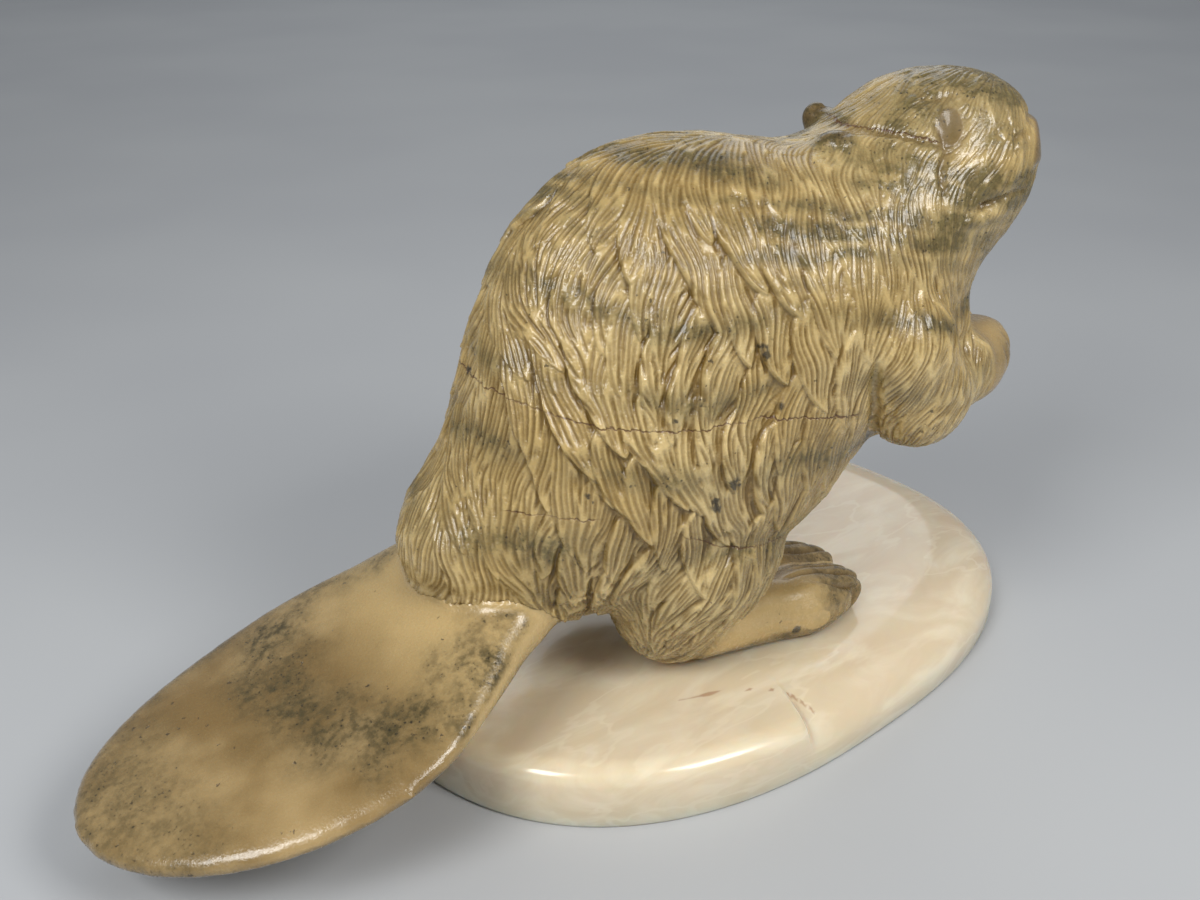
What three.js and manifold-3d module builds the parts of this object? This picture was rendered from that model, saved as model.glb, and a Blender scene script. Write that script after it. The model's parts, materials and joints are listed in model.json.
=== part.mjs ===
// A beaver carved from one block of banded stone, sitting on an oval slab of alabaster.
// Millimetres. +X is the way the animal faces, +Y its left, +Z up.
// The origin is the middle of the slab's flat underside.
import * as THREE from 'three';
import Module from 'manifold-3d';

const wasm = await Module();
wasm.setup();

// ---------------------------------------------------------------- driving dimensions

const GAP = 0.3; // clearance kept between neighbouring pieces at a flat cut
const SEAT = 0.9; // clearance where a limb is seated in the curve of the body

const SLAB = {
  length: 249,
  width: 186,
  thickness: 20,
  squareness: 2.48, // 2 is an ellipse, more fills the corners
  turn: 6, // degrees the slab is turned under the animal
  edgeRadius: 7, // the polished round along the top edge
  chamfer: 0.8, // the small bevel along the bottom edge
  edgeSteps: 3,
  sides: 48,
};
const FLOOR = SLAB.thickness + GAP; // the figure stands on the slab's top face

// The spine bends in a slow curve to the animal's right. Each frame is a place on it:
// where it is, how far it is turned about the vertical, and how far it is tipped nose down.
const PELVIS = { at: [-59, -24, 95], turn: -6 };
const CHEST = { at: [21, -41, 122], turn: -15 };
const HEAD = { at: [43, -44, 171], turn: -36, tip: 6 };

// The hind feet stand side by side, a little to the right of the pelvis.
const FEET = { at: [-60, -34, 95], turn: -6 };

const TAIL = {
  root: [-84, -18, 61], // inside the rump
  tip: [-219, -16, 21],
  sag: 5, // how far the middle hangs below the straight line
  bow: 4, // how far it bends to the right of it
  rootWidth: 60,
  rootDepth: 30,
  width: 102,
  depth: 14,
  stations: 13,
  sides: 20,
};

const EAR = { left: [-22.5, 17.5, 5], right: [-23.5, -21.5, 5.5], size: [6.2, 4.4, 6.2], flare: 24 };
const EYE = { at: [7, 20.5, 14.5], size: [5.5, 4, 5.5] };

// The trunk's coat is carved in tufts: leaves thin at the root and thick at the tip, where
// each steps down onto the next like shingles. Rays from the heart of the trunk place them.
const TUFT = {
  heart: [-35, -30, 108],
  fan: [78, 50, 72], // how the rays spread, so that the tufts come out evenly spaced
  count: 320,
  length: 31,
  width: 15,
  root: -1.5, // the height of the root, under the smooth form
  rise: 1.3, // from the root to the tip
  over: 0.4, // added to all of it
  drop: 1.2, // down to the neighbours at the edges
  edge: 3, // over which it drops
  dome: 0.5,
  bend: 0.24, // how far the tip swings forward, as a share of the length
  hang: [-0.35, 0, -1], // the way that hair lies, pressed flat onto the surface
};

// The neck lies between two parallel planes square to this direction.
const NECK = { along: [0.6, -0.25, 0.76], back: 133, front: 150 };

// The paw is parted from the arm by a plane square to `toward`.
const WRIST = { at: [39, 15.5, -16.5], toward: [0.88, -0.47, 0.05] };

// How finely each surface is followed: the size of the search cell.
const CELL = {
  body: 7.5,
  hollow: 7.5,
  neck: 8,
  head: 7.2,
  ear: 3,
  eye: 2.6,
  haunch: 9.4,
  foot: 6.8,
  arm: 7.2,
};

// ---------------------------------------------------------------- distance fields

const radians = THREE.MathUtils.degToRad;

function frameMatrix({ at, turn = 0, tip = 0, roll = 0 }) {
  const rotation = new THREE.Euler(radians(roll), radians(tip), radians(turn), 'ZYX');
  const matrix = new THREE.Matrix4().makeRotationFromEuler(rotation);
  return matrix.setPosition(...at);
}

// A rounded mass: an ellipsoid with its own place and turn inside a frame.
function mass(frame, at, radii, turn = {}) {
  const matrix = frameMatrix(frame).multiply(frameMatrix({ at, ...turn }));
  const e = matrix.clone().invert().elements;
  const [a, b, c] = radii;
  return (x, y, z) => {
    const u = (e[0] * x + e[4] * y + e[8] * z + e[12]) / a;
    const v = (e[1] * x + e[5] * y + e[9] * z + e[13]) / b;
    const w = (e[2] * x + e[6] * y + e[10] * z + e[14]) / c;
    const near = Math.hypot(u, v, w);
    const steep = Math.hypot(u / a, v / b, w / c);
    return steep > 1e-9 ? (near * (near - 1)) / steep : -Math.min(a, b, c);
  };
}

// A limb segment: a round cone from one joint to the next.
function limb(frame, from, to, fromRadius, toRadius) {
  const matrix = frameMatrix(frame);
  const a = new THREE.Vector3(...from).applyMatrix4(matrix);
  const axis = new THREE.Vector3(...to).applyMatrix4(matrix).sub(a);
  const length = axis.length();
  axis.divideScalar(length);
  const slope = (fromRadius - toRadius) / length;
  const lean = Math.sqrt(Math.max(0, 1 - slope * slope));
  return (x, y, z) => {
    const px = x - a.x;
    const py = y - a.y;
    const pz = z - a.z;
    const along = px * axis.x + py * axis.y + pz * axis.z;
    const out = Math.sqrt(Math.max(0, px * px + py * py + pz * pz - along * along));
    const foot = along + (out * -slope) / lean;
    if (foot <= 0) return Math.hypot(along, out) - fromRadius;
    if (foot >= length) return Math.hypot(along - length, out) - toRadius;
    return out * lean + along * slope - fromRadius;
  };
}

// Joins fields with a soft fillet about as wide as `blend`.
function blend(width, ...fields) {
  return (x, y, z) => {
    let total = fields[0](x, y, z);
    for (let i = 1; i < fields.length; i += 1) {
      const other = fields[i](x, y, z);
      const mix = Math.max(0, 1 - Math.abs(total - other) / width);
      total = Math.min(total, other) - (mix * mix * width) / 4;
    }
    return total;
  };
}

const mirror = (side, [x, y, z]) => [x, y * side, z];

// ---------------------------------------------------------------- the sculptor's masses

const trunkField = blend(
  22,
  mass(PELVIS, [26, 0, 32], [58, 45, 57]), // the hump of the back
  mass(PELVIS, [1, 0, -4], [43, 47, 46]), // rump
  mass(PELVIS, [-27, 3, -25], [33, 30, 23]), // tail root
  mass(PELVIS, [39, -3, -4], [45, 44, 38]), // belly
  mass(CHEST, [-18, 0, 8], [46, 45, 44]), // rib cage
  mass(CHEST, [27.5, 1, -13], [20, 33, 30]), // breast
);
const neckField = mass(CHEST, [9, -2, 28], [30, 32, 29]);

const headField = blend(
  10,
  mass(HEAD, [8, 0, -1], [31, 27, 28]), // skull
  mass(HEAD, [21, 0, 0], [20, 20, 25]), // muzzle
  mass(HEAD, [4, 13, -8], [23, 16, 18]), // left cheek
  mass(HEAD, [4, -13, -8], [23, 16, 18]), // right cheek
  mass(HEAD, [17, 0, -16], [17, 14, 11]), // lower jaw
);
const bodyField = blend(18, trunkField, neckField);
const figureField = blend(14, headField, bodyField);

function haunchField(side) {
  const at = (p) => mirror(side, p);
  return blend(
    14,
    mass(PELVIS, at([22, 27, -30]), [31, 20, 26]), // thigh
    limb(PELVIS, at([19, 25, -35]), at([15, 19, -50]), 20, 15), // hock
    limb(FEET, at([17, 10, -54]), at([22, 9, -64]), 13, 11), // heel
  );
}

function footField(side) {
  const at = (p) => mirror(side, p);
  return blend(
    8,
    limb(FEET, at([20, 10, -61]), at([69, 10.5, -68]), 12.5, 10.5), // sole
    limb(FEET, at([67, 14, -67]), at([86, 14.5, -68]), 8, 6), // outer toes
    limb(FEET, at([70, 6, -67]), at([91, 6, -68]), 7.5, 6.5), // inner toes
  );
}

function armField(side) {
  const at = (p) => mirror(side, p);
  return blend(
    10,
    limb(CHEST, at([4, 30, 2]), at([15, 29, -14]), 20, 15), // upper arm
    limb(CHEST, at([14, 30, -18]), at([47, 12, -16]), 14, 11), // forearm
    limb(CHEST, at([45, 11, -16]), at([53, 8, -13]), 12, 9), // paw
  );
}

// ---------------------------------------------------------------- the carved tufts

const { smoothstep, clamp } = THREE.MathUtils;

// A number from 0 to 1 that is different for each tuft and use, and always the same.
function chance(n, use) {
  const value = Math.sin(n * 12.9898 + use * 78.233) * 43758.5453;
  return value - Math.floor(value);
}

function slopeAt(field, p) {
  const h = 0.05;
  const dx = field(p.x + h, p.y, p.z) - field(p.x - h, p.y, p.z);
  const dy = field(p.x, p.y + h, p.z) - field(p.x, p.y - h, p.z);
  const dz = field(p.x, p.y, p.z + h) - field(p.x, p.y, p.z - h);
  return new THREE.Vector3(dx, dy, dz).divideScalar(2 * h);
}

// Where a ray from the heart of the trunk leaves it.
function wayOut(ray) {
  const heart = new THREE.Vector3(...TUFT.heart);
  const p = heart.clone();
  let [inside, outside] = [0, 160];
  for (let step = 0; step < 24; step += 1) {
    const reach = (inside + outside) / 2;
    p.copy(heart).addScaledVector(ray, reach);
    if (bodyField(p.x, p.y, p.z) < 0) inside = reach;
    else outside = reach;
  }
  return p;
}

// The lie of the coat swings softly from side to side.
const swing = ({ x, y, z }) => 0.22 * (Math.sin(x / 9.5 + z / 13) + Math.sin(y / 8 - z / 10 + 1.3));
const highOnBack = (z) => smoothstep(z, 150, 182);
const boldness = (x, z) => clamp(1 - 0.55 * smoothstep(x, -42, 0) - 0.45 * highOnBack(z), 0.25, 1);

function tuft(n) {
  const level = 1 - (2 * n + 1) / TUFT.count;
  const around = n * Math.PI * (3 - Math.sqrt(5)); // the golden angle spreads them evenly
  const flat = Math.sqrt(1 - level * level);
  const ray = new THREE.Vector3(flat * Math.cos(around), flat * Math.sin(around), level);
  const at = wayOut(ray.multiply(new THREE.Vector3(...TUFT.fan)).normalize());
  const out = slopeAt(bodyField, at).normalize();
  const lie = new THREE.Vector3(...TUFT.hang).projectOnPlane(out).normalize();
  lie.applyAxisAngle(out, swing(at));
  const side = out.clone().cross(lie);
  const length = TUFT.length * (0.85 + 0.4 * chance(n, 1));
  const forward = Math.sign(side.x + 0.2) * (1 - 0.7 * highOnBack(at.z));
  return {
    at, out, lie, side, length,
    width: TUFT.width * (0.78 + 0.5 * chance(n, 2)),
    bend: TUFT.bend * (0.6 + 0.8 * chance(n, 3)) * forward * length,
    lift: 0.5 * (chance(n, 4) - 0.5),
    tilt: 0.7 * (chance(n, 5) - 0.5),
  };
}

const tufts = Array.from({ length: TUFT.count }, (_, n) => tuft(n));

// How high the tufts stand at a place on the trunk: where leaves overlap, the higher wins.
function reliefAt(x, y, z) {
  const away = new THREE.Vector3();
  let stands = TUFT.root;
  for (const { at, out, lie, side, length, width, bend, lift, tilt } of tufts) {
    away.set(x, y, z).sub(at);
    if (away.lengthSq() > length * length || Math.abs(away.dot(out)) > 14) continue;
    const u = away.dot(lie) / length + 0.5;
    if (u <= 0 || u >= 1) continue;
    const half = 0.95 * width * u ** 0.45 * (1 - u) ** 0.6;
    const v = away.dot(side) - bend * (u * u - 0.3);
    if (Math.abs(v) >= half) continue;
    const s = v / half;
    const leaf = TUFT.root + TUFT.rise * u + lift + tilt * s - TUFT.dome * s * s;
    stands = Math.max(stands, leaf - TUFT.drop * (1 - smoothstep(half - Math.abs(v), 0, TUFT.edge)));
  }
  return boldness(x, z) * (stands + TUFT.over);
}

// The trunk stays smooth where a limb or the tail is seated.
const TAIL_SEAT = mass(PELVIS, [-52, 6, -40], [33, 32, 26]);
const limbs = [1, -1].flatMap((side) => [haunchField(side), footField(side), armField(side)]);
const seats = [...limbs, TAIL_SEAT];

function carved(field) {
  return (x, y, z) => {
    const distance = field(x, y, z);
    if (Math.abs(distance) > 9) return distance;
    const clear = Math.min(...seats.map((seat) => seat(x, y, z)));
    return clear <= 1 ? distance : distance - smoothstep(clear, 1, 7) * reliefAt(x, y, z);
  };
}

// ---------------------------------------------------------------- from field to solid

// Finds the field's zero surface: one vertex in each cell that the surface crosses, moved
// onto the surface along the field's slope, and one quad across each grid edge it crosses.
// What reaches past the box is closed off flat at its sides.
function surfaceOf(field, box, cell) {
  const low = box.min;
  const count = box.getSize(new THREE.Vector3()).divideScalar(cell).ceil().addScalar(1);
  const [nx, ny, nz] = count.toArray();
  const index = (i, j, k) => (k * ny + j) * nx + i;
  const onRim = (i, j, k) => [i, j, k].some((n, axis) => n === 0 || n === count.getComponent(axis) - 1);
  const values = new Float64Array(nx * ny * nz);
  for (let k = 0; k < nz; k += 1) {
    for (let j = 0; j < ny; j += 1) {
      for (let i = 0; i < nx; i += 1) {
        const value = field(low.x + i * cell, low.y + j * cell, low.z + k * cell);
        values[index(i, j, k)] = onRim(i, j, k) ? Math.max(value, 1) : value; // closes the box
      }
    }
  }

  const corners = [];
  for (let n = 0; n < 8; n += 1) corners.push([n & 1, (n >> 1) & 1, (n >> 2) & 1]);
  const edges = [];
  for (let n = 0; n < 8; n += 1) {
    for (const bit of [1, 2, 4]) if (!(n & bit)) edges.push([n, n | bit]);
  }

  const points = [];
  const pointOf = new Map();
  for (let k = 0; k < nz - 1; k += 1) {
    for (let j = 0; j < ny - 1; j += 1) {
      for (let i = 0; i < nx - 1; i += 1) {
        const v = corners.map(([a, b, c]) => values[index(i + a, j + b, k + c)]);
        const mean = new THREE.Vector3();
        let crossings = 0;
        for (const [m, n] of edges) {
          if (v[m] < 0 === v[n] < 0) continue;
          const t = v[m] / (v[m] - v[n]);
          const from = new THREE.Vector3(...corners[m]);
          mean.add(from.lerp(new THREE.Vector3(...corners[n]), t));
          crossings += 1;
        }
        if (!crossings) continue;
        mean.divideScalar(crossings);
        const p = new THREE.Vector3(i, j, k).add(mean).multiplyScalar(cell).add(low);
        const closing = onRim(i, j, k) || onRim(i + 1, j + 1, k + 1);
        for (let step = 0; step < 3 && !closing; step += 1) {
          const g = slopeAt(field, p);
          const move = field(p.x, p.y, p.z) / Math.max(g.lengthSq(), 0.2);
          const limit = 0.35 * cell;
          p.addScaledVector(g, -THREE.MathUtils.clamp(move, -limit, limit));
        }
        pointOf.set(index(i, j, k), points.length / 3);
        points.push(p.x, p.y, p.z);
      }
    }
  }

  const triangles = [];
  const at = (n) => new THREE.Vector3().fromArray(points, 3 * n);
  const quad = (a, b, c, d) => {
    if (at(a).distanceTo(at(c)) < at(b).distanceTo(at(d))) triangles.push(a, b, c, a, c, d);
    else triangles.push(a, b, d, b, c, d);
  };
  const axes = [[1, 0, 0], [0, 1, 0], [0, 0, 1]];
  for (let k = 0; k < nz - 1; k += 1) {
    for (let j = 0; j < ny - 1; j += 1) {
      for (let i = 0; i < nx - 1; i += 1) {
        const here = values[index(i, j, k)] < 0;
        for (let n = 0; n < 3; n += 1) {
          const [d, u, v] = [axes[n], axes[(n + 1) % 3], axes[(n + 2) % 3]];
          const there = values[index(i + d[0], j + d[1], k + d[2])] < 0;
          if (here === there) continue;
          const cellAt = (a, b) =>
            pointOf.get(index(i - a * u[0] - b * v[0], j - a * u[1] - b * v[1], k - a * u[2] - b * v[2]));
          const ring = [cellAt(0, 0), cellAt(1, 0), cellAt(1, 1), cellAt(0, 1)];
          if (here) quad(...ring);
          else quad(...ring.reverse());
        }
      }
    }
  }
  return solid(points, triangles);
}

function solid(points, triangles) {
  return new wasm.Manifold(
    new wasm.Mesh({
      numProp: 3,
      vertProperties: new Float32Array(points),
      triVerts: new Uint32Array(triangles),
    }),
  );
}

// The box that a field is searched in, given in a frame's own directions.
function reach(low, high) {
  return new THREE.Box3(new THREE.Vector3(...low), new THREE.Vector3(...high));
}

const REACH = {
  body: reach([-132, -92, 22], [96, 48, 202]),
  head: reach([-40, -104, 112], [104, 22, 214]),
  legs: reach([-72, -84, 0], [52, 36, 106]),
  arms: reach([-6, -106, 66], [96, 6, 152]),
};

const grown = (field, by) => (x, y, z) => field(x, y, z) - by;

// Keeps what lies beyond a plane: `along` points to the side that is kept.
const beyond = (shape, along, level) => {
  const direction = new THREE.Vector3(...along);
  const length = direction.length();
  return shape.trimByPlane(direction.divideScalar(length).toArray(), level / length);
};
const before = (shape, along, level) => beyond(shape, along.map((v) => -v), -level);

// The largest of the bodies that a cut leaves; the crumbs go.
function largest(shape) {
  return shape.decompose().reduce((best, next) => (next.volume() > best.volume() ? next : best));
}

// ---------------------------------------------------------------- pieces

const STONE = { color: 0xb79f74, roughness: 0.42, metalness: 0 };
const ALABASTER = { color: 0xdccdb4, roughness: 0.25, metalness: 0 };

const group = new THREE.Group();

function addPiece(name, shape, finish) {
  const { vertProperties, triVerts } = shape.getMesh();
  const geometry = new THREE.BufferGeometry();
  geometry.setAttribute('position', new THREE.BufferAttribute(vertProperties, 3));
  geometry.setIndex(new THREE.BufferAttribute(triVerts, 1));
  geometry.computeVertexNormals();
  const mesh = new THREE.Mesh(geometry, new THREE.MeshStandardMaterial(finish));
  mesh.name = name;
  group.add(mesh);
}

function ringLoft(rings) {
  const size = rings[0].length;
  const points = rings.flat().flatMap((p) => p.toArray());
  const triangles = [];
  for (let i = 0; i < rings.length - 1; i += 1) {
    for (let j = 0; j < size; j += 1) {
      const k = (j + 1) % size;
      const a = i * size + j;
      const b = i * size + k;
      triangles.push(a, b, b + size, a, b + size, a + size);
    }
  }
  const cap = (ring, flip) => {
    const centre = ring.reduce((sum, p) => sum.add(p), new THREE.Vector3()).divideScalar(size);
    const middle = points.length / 3;
    const first = rings.indexOf(ring) * size;
    points.push(...centre.toArray());
    for (let j = 0; j < size; j += 1) {
      const k = (j + 1) % size;
      if (flip) triangles.push(middle, first + k, first + j);
      else triangles.push(middle, first + j, first + k);
    }
  };
  cap(rings[0], true);
  cap(rings[rings.length - 1], false);
  return solid(points, triangles);
}

function slabSolid() {
  const outline = (inset, z) => {
    const ring = [];
    const power = 2 / SLAB.squareness;
    for (let n = 0; n < SLAB.sides; n += 1) {
      const angle = (n / SLAB.sides) * 2 * Math.PI;
      const c = Math.cos(angle);
      const s = Math.sin(angle);
      const x = (SLAB.length / 2 - inset) * Math.sign(c) * Math.abs(c) ** power;
      const y = (SLAB.width / 2 - inset) * Math.sign(s) * Math.abs(s) ** power;
      ring.push(new THREE.Vector3(x, y, z).applyAxisAngle(new THREE.Vector3(0, 0, 1), radians(SLAB.turn)));
    }
    return ring;
  };
  const rings = [outline(SLAB.chamfer, 0), outline(0, SLAB.chamfer)];
  for (let n = 0; n <= SLAB.edgeSteps; n += 1) {
    const a = (n / SLAB.edgeSteps) * (Math.PI / 2);
    const inset = SLAB.edgeRadius * (1 - Math.cos(a));
    rings.push(outline(inset, SLAB.thickness - SLAB.edgeRadius * (1 - Math.sin(a))));
  }
  return ringLoft(rings);
}

function tailSolid() {
  const root = new THREE.Vector3(...TAIL.root);
  const tip = new THREE.Vector3(...TAIL.tip);
  const axis = tip.clone().sub(root).normalize();
  const across = new THREE.Vector3(0, 0, 1).cross(axis).normalize(); // to the animal's right
  const up = axis.clone().cross(across);
  const { lerp } = THREE.MathUtils;
  const rings = [];
  for (let n = 0; n <= TAIL.stations; n += 1) {
    const u = Math.min(1 - (1 - n / TAIL.stations) ** 1.7, 0.996); // closer together at the tip
    const round = Math.sqrt(1 - (Math.max(0, u - 0.42) / 0.58) ** 2.1); // the paddle's oval end
    const width = lerp(TAIL.rootWidth, TAIL.width, smoothstep(u, 0, 0.45)) * round;
    const depth = lerp(TAIL.rootDepth, TAIL.depth, smoothstep(u, 0, 0.42)) * round ** 0.55;
    const centre = root.clone().lerp(tip, u);
    centre.z -= TAIL.sag * Math.sin(Math.PI * u);
    centre.y -= TAIL.bow * Math.sin(Math.PI * u);
    const ring = [];
    for (let m = 0; m < TAIL.sides; m += 1) {
      const a = (m / TAIL.sides) * 2 * Math.PI;
      const [c, s] = [Math.cos(a), Math.sin(a)];
      const p = centre.clone();
      p.addScaledVector(across, (width / 2) * Math.sign(c) * Math.abs(c) ** 0.9);
      p.addScaledVector(up, (depth / 2) * Math.sign(s) * Math.abs(s) ** 0.8);
      ring.push(p);
    }
    rings.push(ring);
  }
  return ringLoft(rings);
}

// A direction and a point of a frame, told in the model's own axes.
const directionIn = (frame, v) => new THREE.Vector3(...v).transformDirection(frameMatrix(frame));
const pointIn = (frame, p) => new THREE.Vector3(...p).applyMatrix4(frameMatrix(frame));

// One side of a frame's middle plane, where a pair of limbs meets.
function half(shape, frame, side) {
  const outward = directionIn(frame, [0, side, 0]);
  return beyond(shape, outward.toArray(), outward.dot(pointIn(frame, [0, 0, 0])) + GAP / 2);
}

// The body is worked whole and then parted: the neck by two planes, each limb where it
// meets the trunk.
const body = surfaceOf(carved(bodyField), REACH.body, CELL.body);
const bodyHollow = surfaceOf(grown(bodyField, SEAT), REACH.body, CELL.hollow);
const neckSlice = surfaceOf(carved(figureField), REACH.head, CELL.neck);
const headWhole = surfaceOf(figureField, REACH.head, CELL.head);
const headHollow = surfaceOf(grown(figureField, SEAT), REACH.head, CELL.head);

addPiece('base', slabSolid(), ALABASTER);
addPiece('trunk', before(body, NECK.along, NECK.back), STONE);
addPiece('neck', before(beyond(neckSlice, NECK.along, NECK.back + GAP), NECK.along, NECK.front), STONE);

const earField = (name, side) => mass(HEAD, EAR[name], EAR.size, { roll: -EAR.flare * side });
const eyeField = (side, extra) => mass(HEAD, mirror(side, EYE.at), EYE.size.map((v) => v + extra));

let head = beyond(headWhole, NECK.along, NECK.front + GAP);
for (const side of [1, -1]) {
  head = head.subtract(surfaceOf(eyeField(side, GAP), REACH.head, CELL.eye));
}
addPiece('head', head, STONE);
addPiece('tail', tailSolid().subtract(bodyHollow), STONE);

for (const [name, side] of [['left', 1], ['right', -1]]) {
  const ear = surfaceOf(earField(name, side), REACH.head, CELL.ear);
  addPiece(`ear_${name}`, largest(ear.subtract(headHollow)), STONE);
  addPiece(`eye_${name}`, surfaceOf(eyeField(side, 0), REACH.head, CELL.eye), STONE);

  const haunch = surfaceOf(haunchField(side), REACH.legs, CELL.haunch);
  const haunchHollow = surfaceOf(grown(haunchField(side), SEAT), REACH.legs, CELL.haunch);
  const foot = surfaceOf(footField(side), REACH.legs, CELL.foot);
  const standing = (shape) => beyond(shape, [0, 0, 1], FLOOR);
  addPiece(`hindleg_${name}`, largest(half(standing(haunch.subtract(bodyHollow)), FEET, side)), STONE);
  const bareFoot = standing(foot.subtract(haunchHollow).subtract(bodyHollow));
  addPiece(`hindfoot_${name}`, largest(half(bareFoot, FEET, side)), STONE);

  const arm = surfaceOf(armField(side), REACH.arms, CELL.arm).subtract(bodyHollow);
  const halfArm = largest(half(arm, CHEST, side));
  const alongWrist = directionIn(CHEST, mirror(side, WRIST.toward));
  const wristLevel = alongWrist.dot(pointIn(CHEST, mirror(side, WRIST.at)));
  addPiece(`foreleg_${name}`, before(halfArm, alongWrist.toArray(), wristLevel), STONE);
  addPiece(`forepaw_${name}`, beyond(halfArm, alongWrist.toArray(), wristLevel + GAP), STONE);
}

export default group;
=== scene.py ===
# %% [markdown]
# # A beaver carved in stone, on an alabaster slab
#
# The piece is a table-top carving. A beaver sits up on its hind feet with its head turned,
# cut from one block of banded stone and waxed. Its coat is carved hair by hair with a small
# gouge, while the tail, the feet and the paws are polished smooth. It stands on an oval slab
# of pale alabaster.
#
# The solids of the figure are coarse, but they are true in size and place. So the figure is
# not modelled again: the solids are fused into one block of stone, and the script then does
# what the carver did. It rounds the block, cuts the face, toes and fingers, and last the
# hair. The slab is turned as a loft of its own, with the polished round along its edge.
#
# Blender works in metres. The carving is thought out in millimetres, as a carver would, and
# each mesh is turned into metres when it is made.

import json
import math
from collections import deque

import bmesh
import bpy
import numpy as np
import openvdb
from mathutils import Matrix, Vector
from mathutils.bvhtree import BVHTree
from mathutils.kdtree import KDTree

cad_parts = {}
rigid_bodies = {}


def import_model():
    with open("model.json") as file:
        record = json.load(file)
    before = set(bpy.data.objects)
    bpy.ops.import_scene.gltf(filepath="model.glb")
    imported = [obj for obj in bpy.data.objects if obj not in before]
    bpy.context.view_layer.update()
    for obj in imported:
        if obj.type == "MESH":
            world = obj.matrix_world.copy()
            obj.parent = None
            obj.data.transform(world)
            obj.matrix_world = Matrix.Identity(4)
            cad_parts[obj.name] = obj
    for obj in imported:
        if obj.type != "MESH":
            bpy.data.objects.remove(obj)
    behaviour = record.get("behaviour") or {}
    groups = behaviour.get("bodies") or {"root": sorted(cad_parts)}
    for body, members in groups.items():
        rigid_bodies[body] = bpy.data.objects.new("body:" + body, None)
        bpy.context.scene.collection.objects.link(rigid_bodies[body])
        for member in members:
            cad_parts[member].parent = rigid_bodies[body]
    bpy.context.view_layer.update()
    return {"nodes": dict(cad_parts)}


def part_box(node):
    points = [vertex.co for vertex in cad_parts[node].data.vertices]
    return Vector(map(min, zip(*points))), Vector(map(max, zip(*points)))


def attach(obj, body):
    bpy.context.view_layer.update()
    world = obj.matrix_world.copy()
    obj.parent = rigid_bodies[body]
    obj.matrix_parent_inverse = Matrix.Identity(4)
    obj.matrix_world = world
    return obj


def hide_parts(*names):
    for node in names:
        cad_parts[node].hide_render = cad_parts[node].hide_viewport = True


for leftover in list(bpy.data.objects):
    bpy.data.objects.remove(leftover)

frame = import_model()
MM = 0.001
print("solids:", ", ".join(sorted(frame["nodes"])))


def box_mm(node):
    low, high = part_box(node)
    return np.array(low) / MM, np.array(high) / MM


def middle(node):
    low, high = box_mm(node)
    return (low + high) / 2


# %% [markdown]
# ## The camera
#
# The piece is looked down on from its right and a little behind, as one looks at a carving
# on a table. The lens is a moderate wide angle held close, which makes the tail in front
# large and the head small. The camera is placed by its distance, its height angle and its
# turn round the piece, because those are the numbers one thinks in at a tripod.

# %% Place the camera
LOOK_AT = np.array([-30.4, 9.0, 70.8])
CAMERA_TURN = math.radians(-36)
CAMERA_RISE = math.radians(26)
CAMERA_DISTANCE = 435.6
FIELD_OF_VIEW = math.radians(50)

away = np.array([
    math.sin(CAMERA_TURN) * math.cos(CAMERA_RISE),
    -math.cos(CAMERA_TURN) * math.cos(CAMERA_RISE),
    math.sin(CAMERA_RISE),
])
camera_data = bpy.data.cameras.new("camera")
camera_data.sensor_width = 36
camera_data.angle = FIELD_OF_VIEW
camera = bpy.data.objects.new("camera", camera_data)
camera.location = (LOOK_AT + away * CAMERA_DISTANCE) * MM
camera.rotation_euler = Vector(away).to_track_quat("Z", "Y").to_euler()
bpy.context.scene.collection.objects.link(camera)
bpy.context.scene.camera = camera
print("camera stands at", [round(v, 3) for v in camera.location])

# %% [markdown]
# ## One block of stone
#
# The figure comes as sixteen solids with saw cuts of less than a millimetre between them.
# Real stone has no such cuts. A voxel remesh closes them only here and there, so the whole
# figure is first grown by a little, which shuts every cut, and then shrunk back by the same
# amount. A level set does both: it is a grid that holds the distance to the surface, and the
# surface can be taken out at any distance.
#
# The carver also left the stone whole between each forearm and the breast, where a tool
# can't reach. Two small balls, pressed flat, fill those gaps.

# %% Meshes of the solids, and level sets
figure_nodes = [name for name in frame["nodes"] if name != "base"]
CUT_CLOSING = 0.7
BLOCK_CELL = 1.62
FINE_CELL = 1.2


def node_mesh(name):
    mesh = frame["nodes"][name].data
    points = np.empty(len(mesh.vertices) * 3, np.float32)
    mesh.vertices.foreach_get("co", points)
    mesh.calc_loop_triangles()
    triangles = np.empty(len(mesh.loop_triangles) * 3, np.uint32)
    mesh.loop_triangles.foreach_get("vertices", triangles)
    points = points.reshape(-1, 3)
    matrix = np.array(frame["nodes"][name].matrix_world)
    return (points @ matrix[:3, :3].T + matrix[:3, 3]) / MM, triangles.reshape(-1, 3)


def joined(names):
    points, triangles, owner, count = [], [], [], 0
    for number, name in enumerate(names):
        p, t = node_mesh(name)
        points.append(p)
        triangles.append(t + count)
        owner.append(np.full(len(t), number))
        count += len(p)
    return np.concatenate(points), np.concatenate(triangles), np.concatenate(owner)


def level_set(points, cell, **faces):
    transform = openvdb.createLinearTransform(voxelSize=cell)
    faces = {kind: f.astype(np.uint32) for kind, f in faces.items()}
    points = points.astype(np.float32)
    return openvdb.FloatGrid.createLevelSetFromPolygons(
        points, transform=transform, halfWidth=4.0, **faces)


def quad_edges(quads):
    pairs = np.concatenate([quads[:, [a, (a + 1) % 4]] for a in range(4)]).astype(np.int64)
    pairs.sort(axis=1)
    return np.unique(pairs, axis=0)


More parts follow.
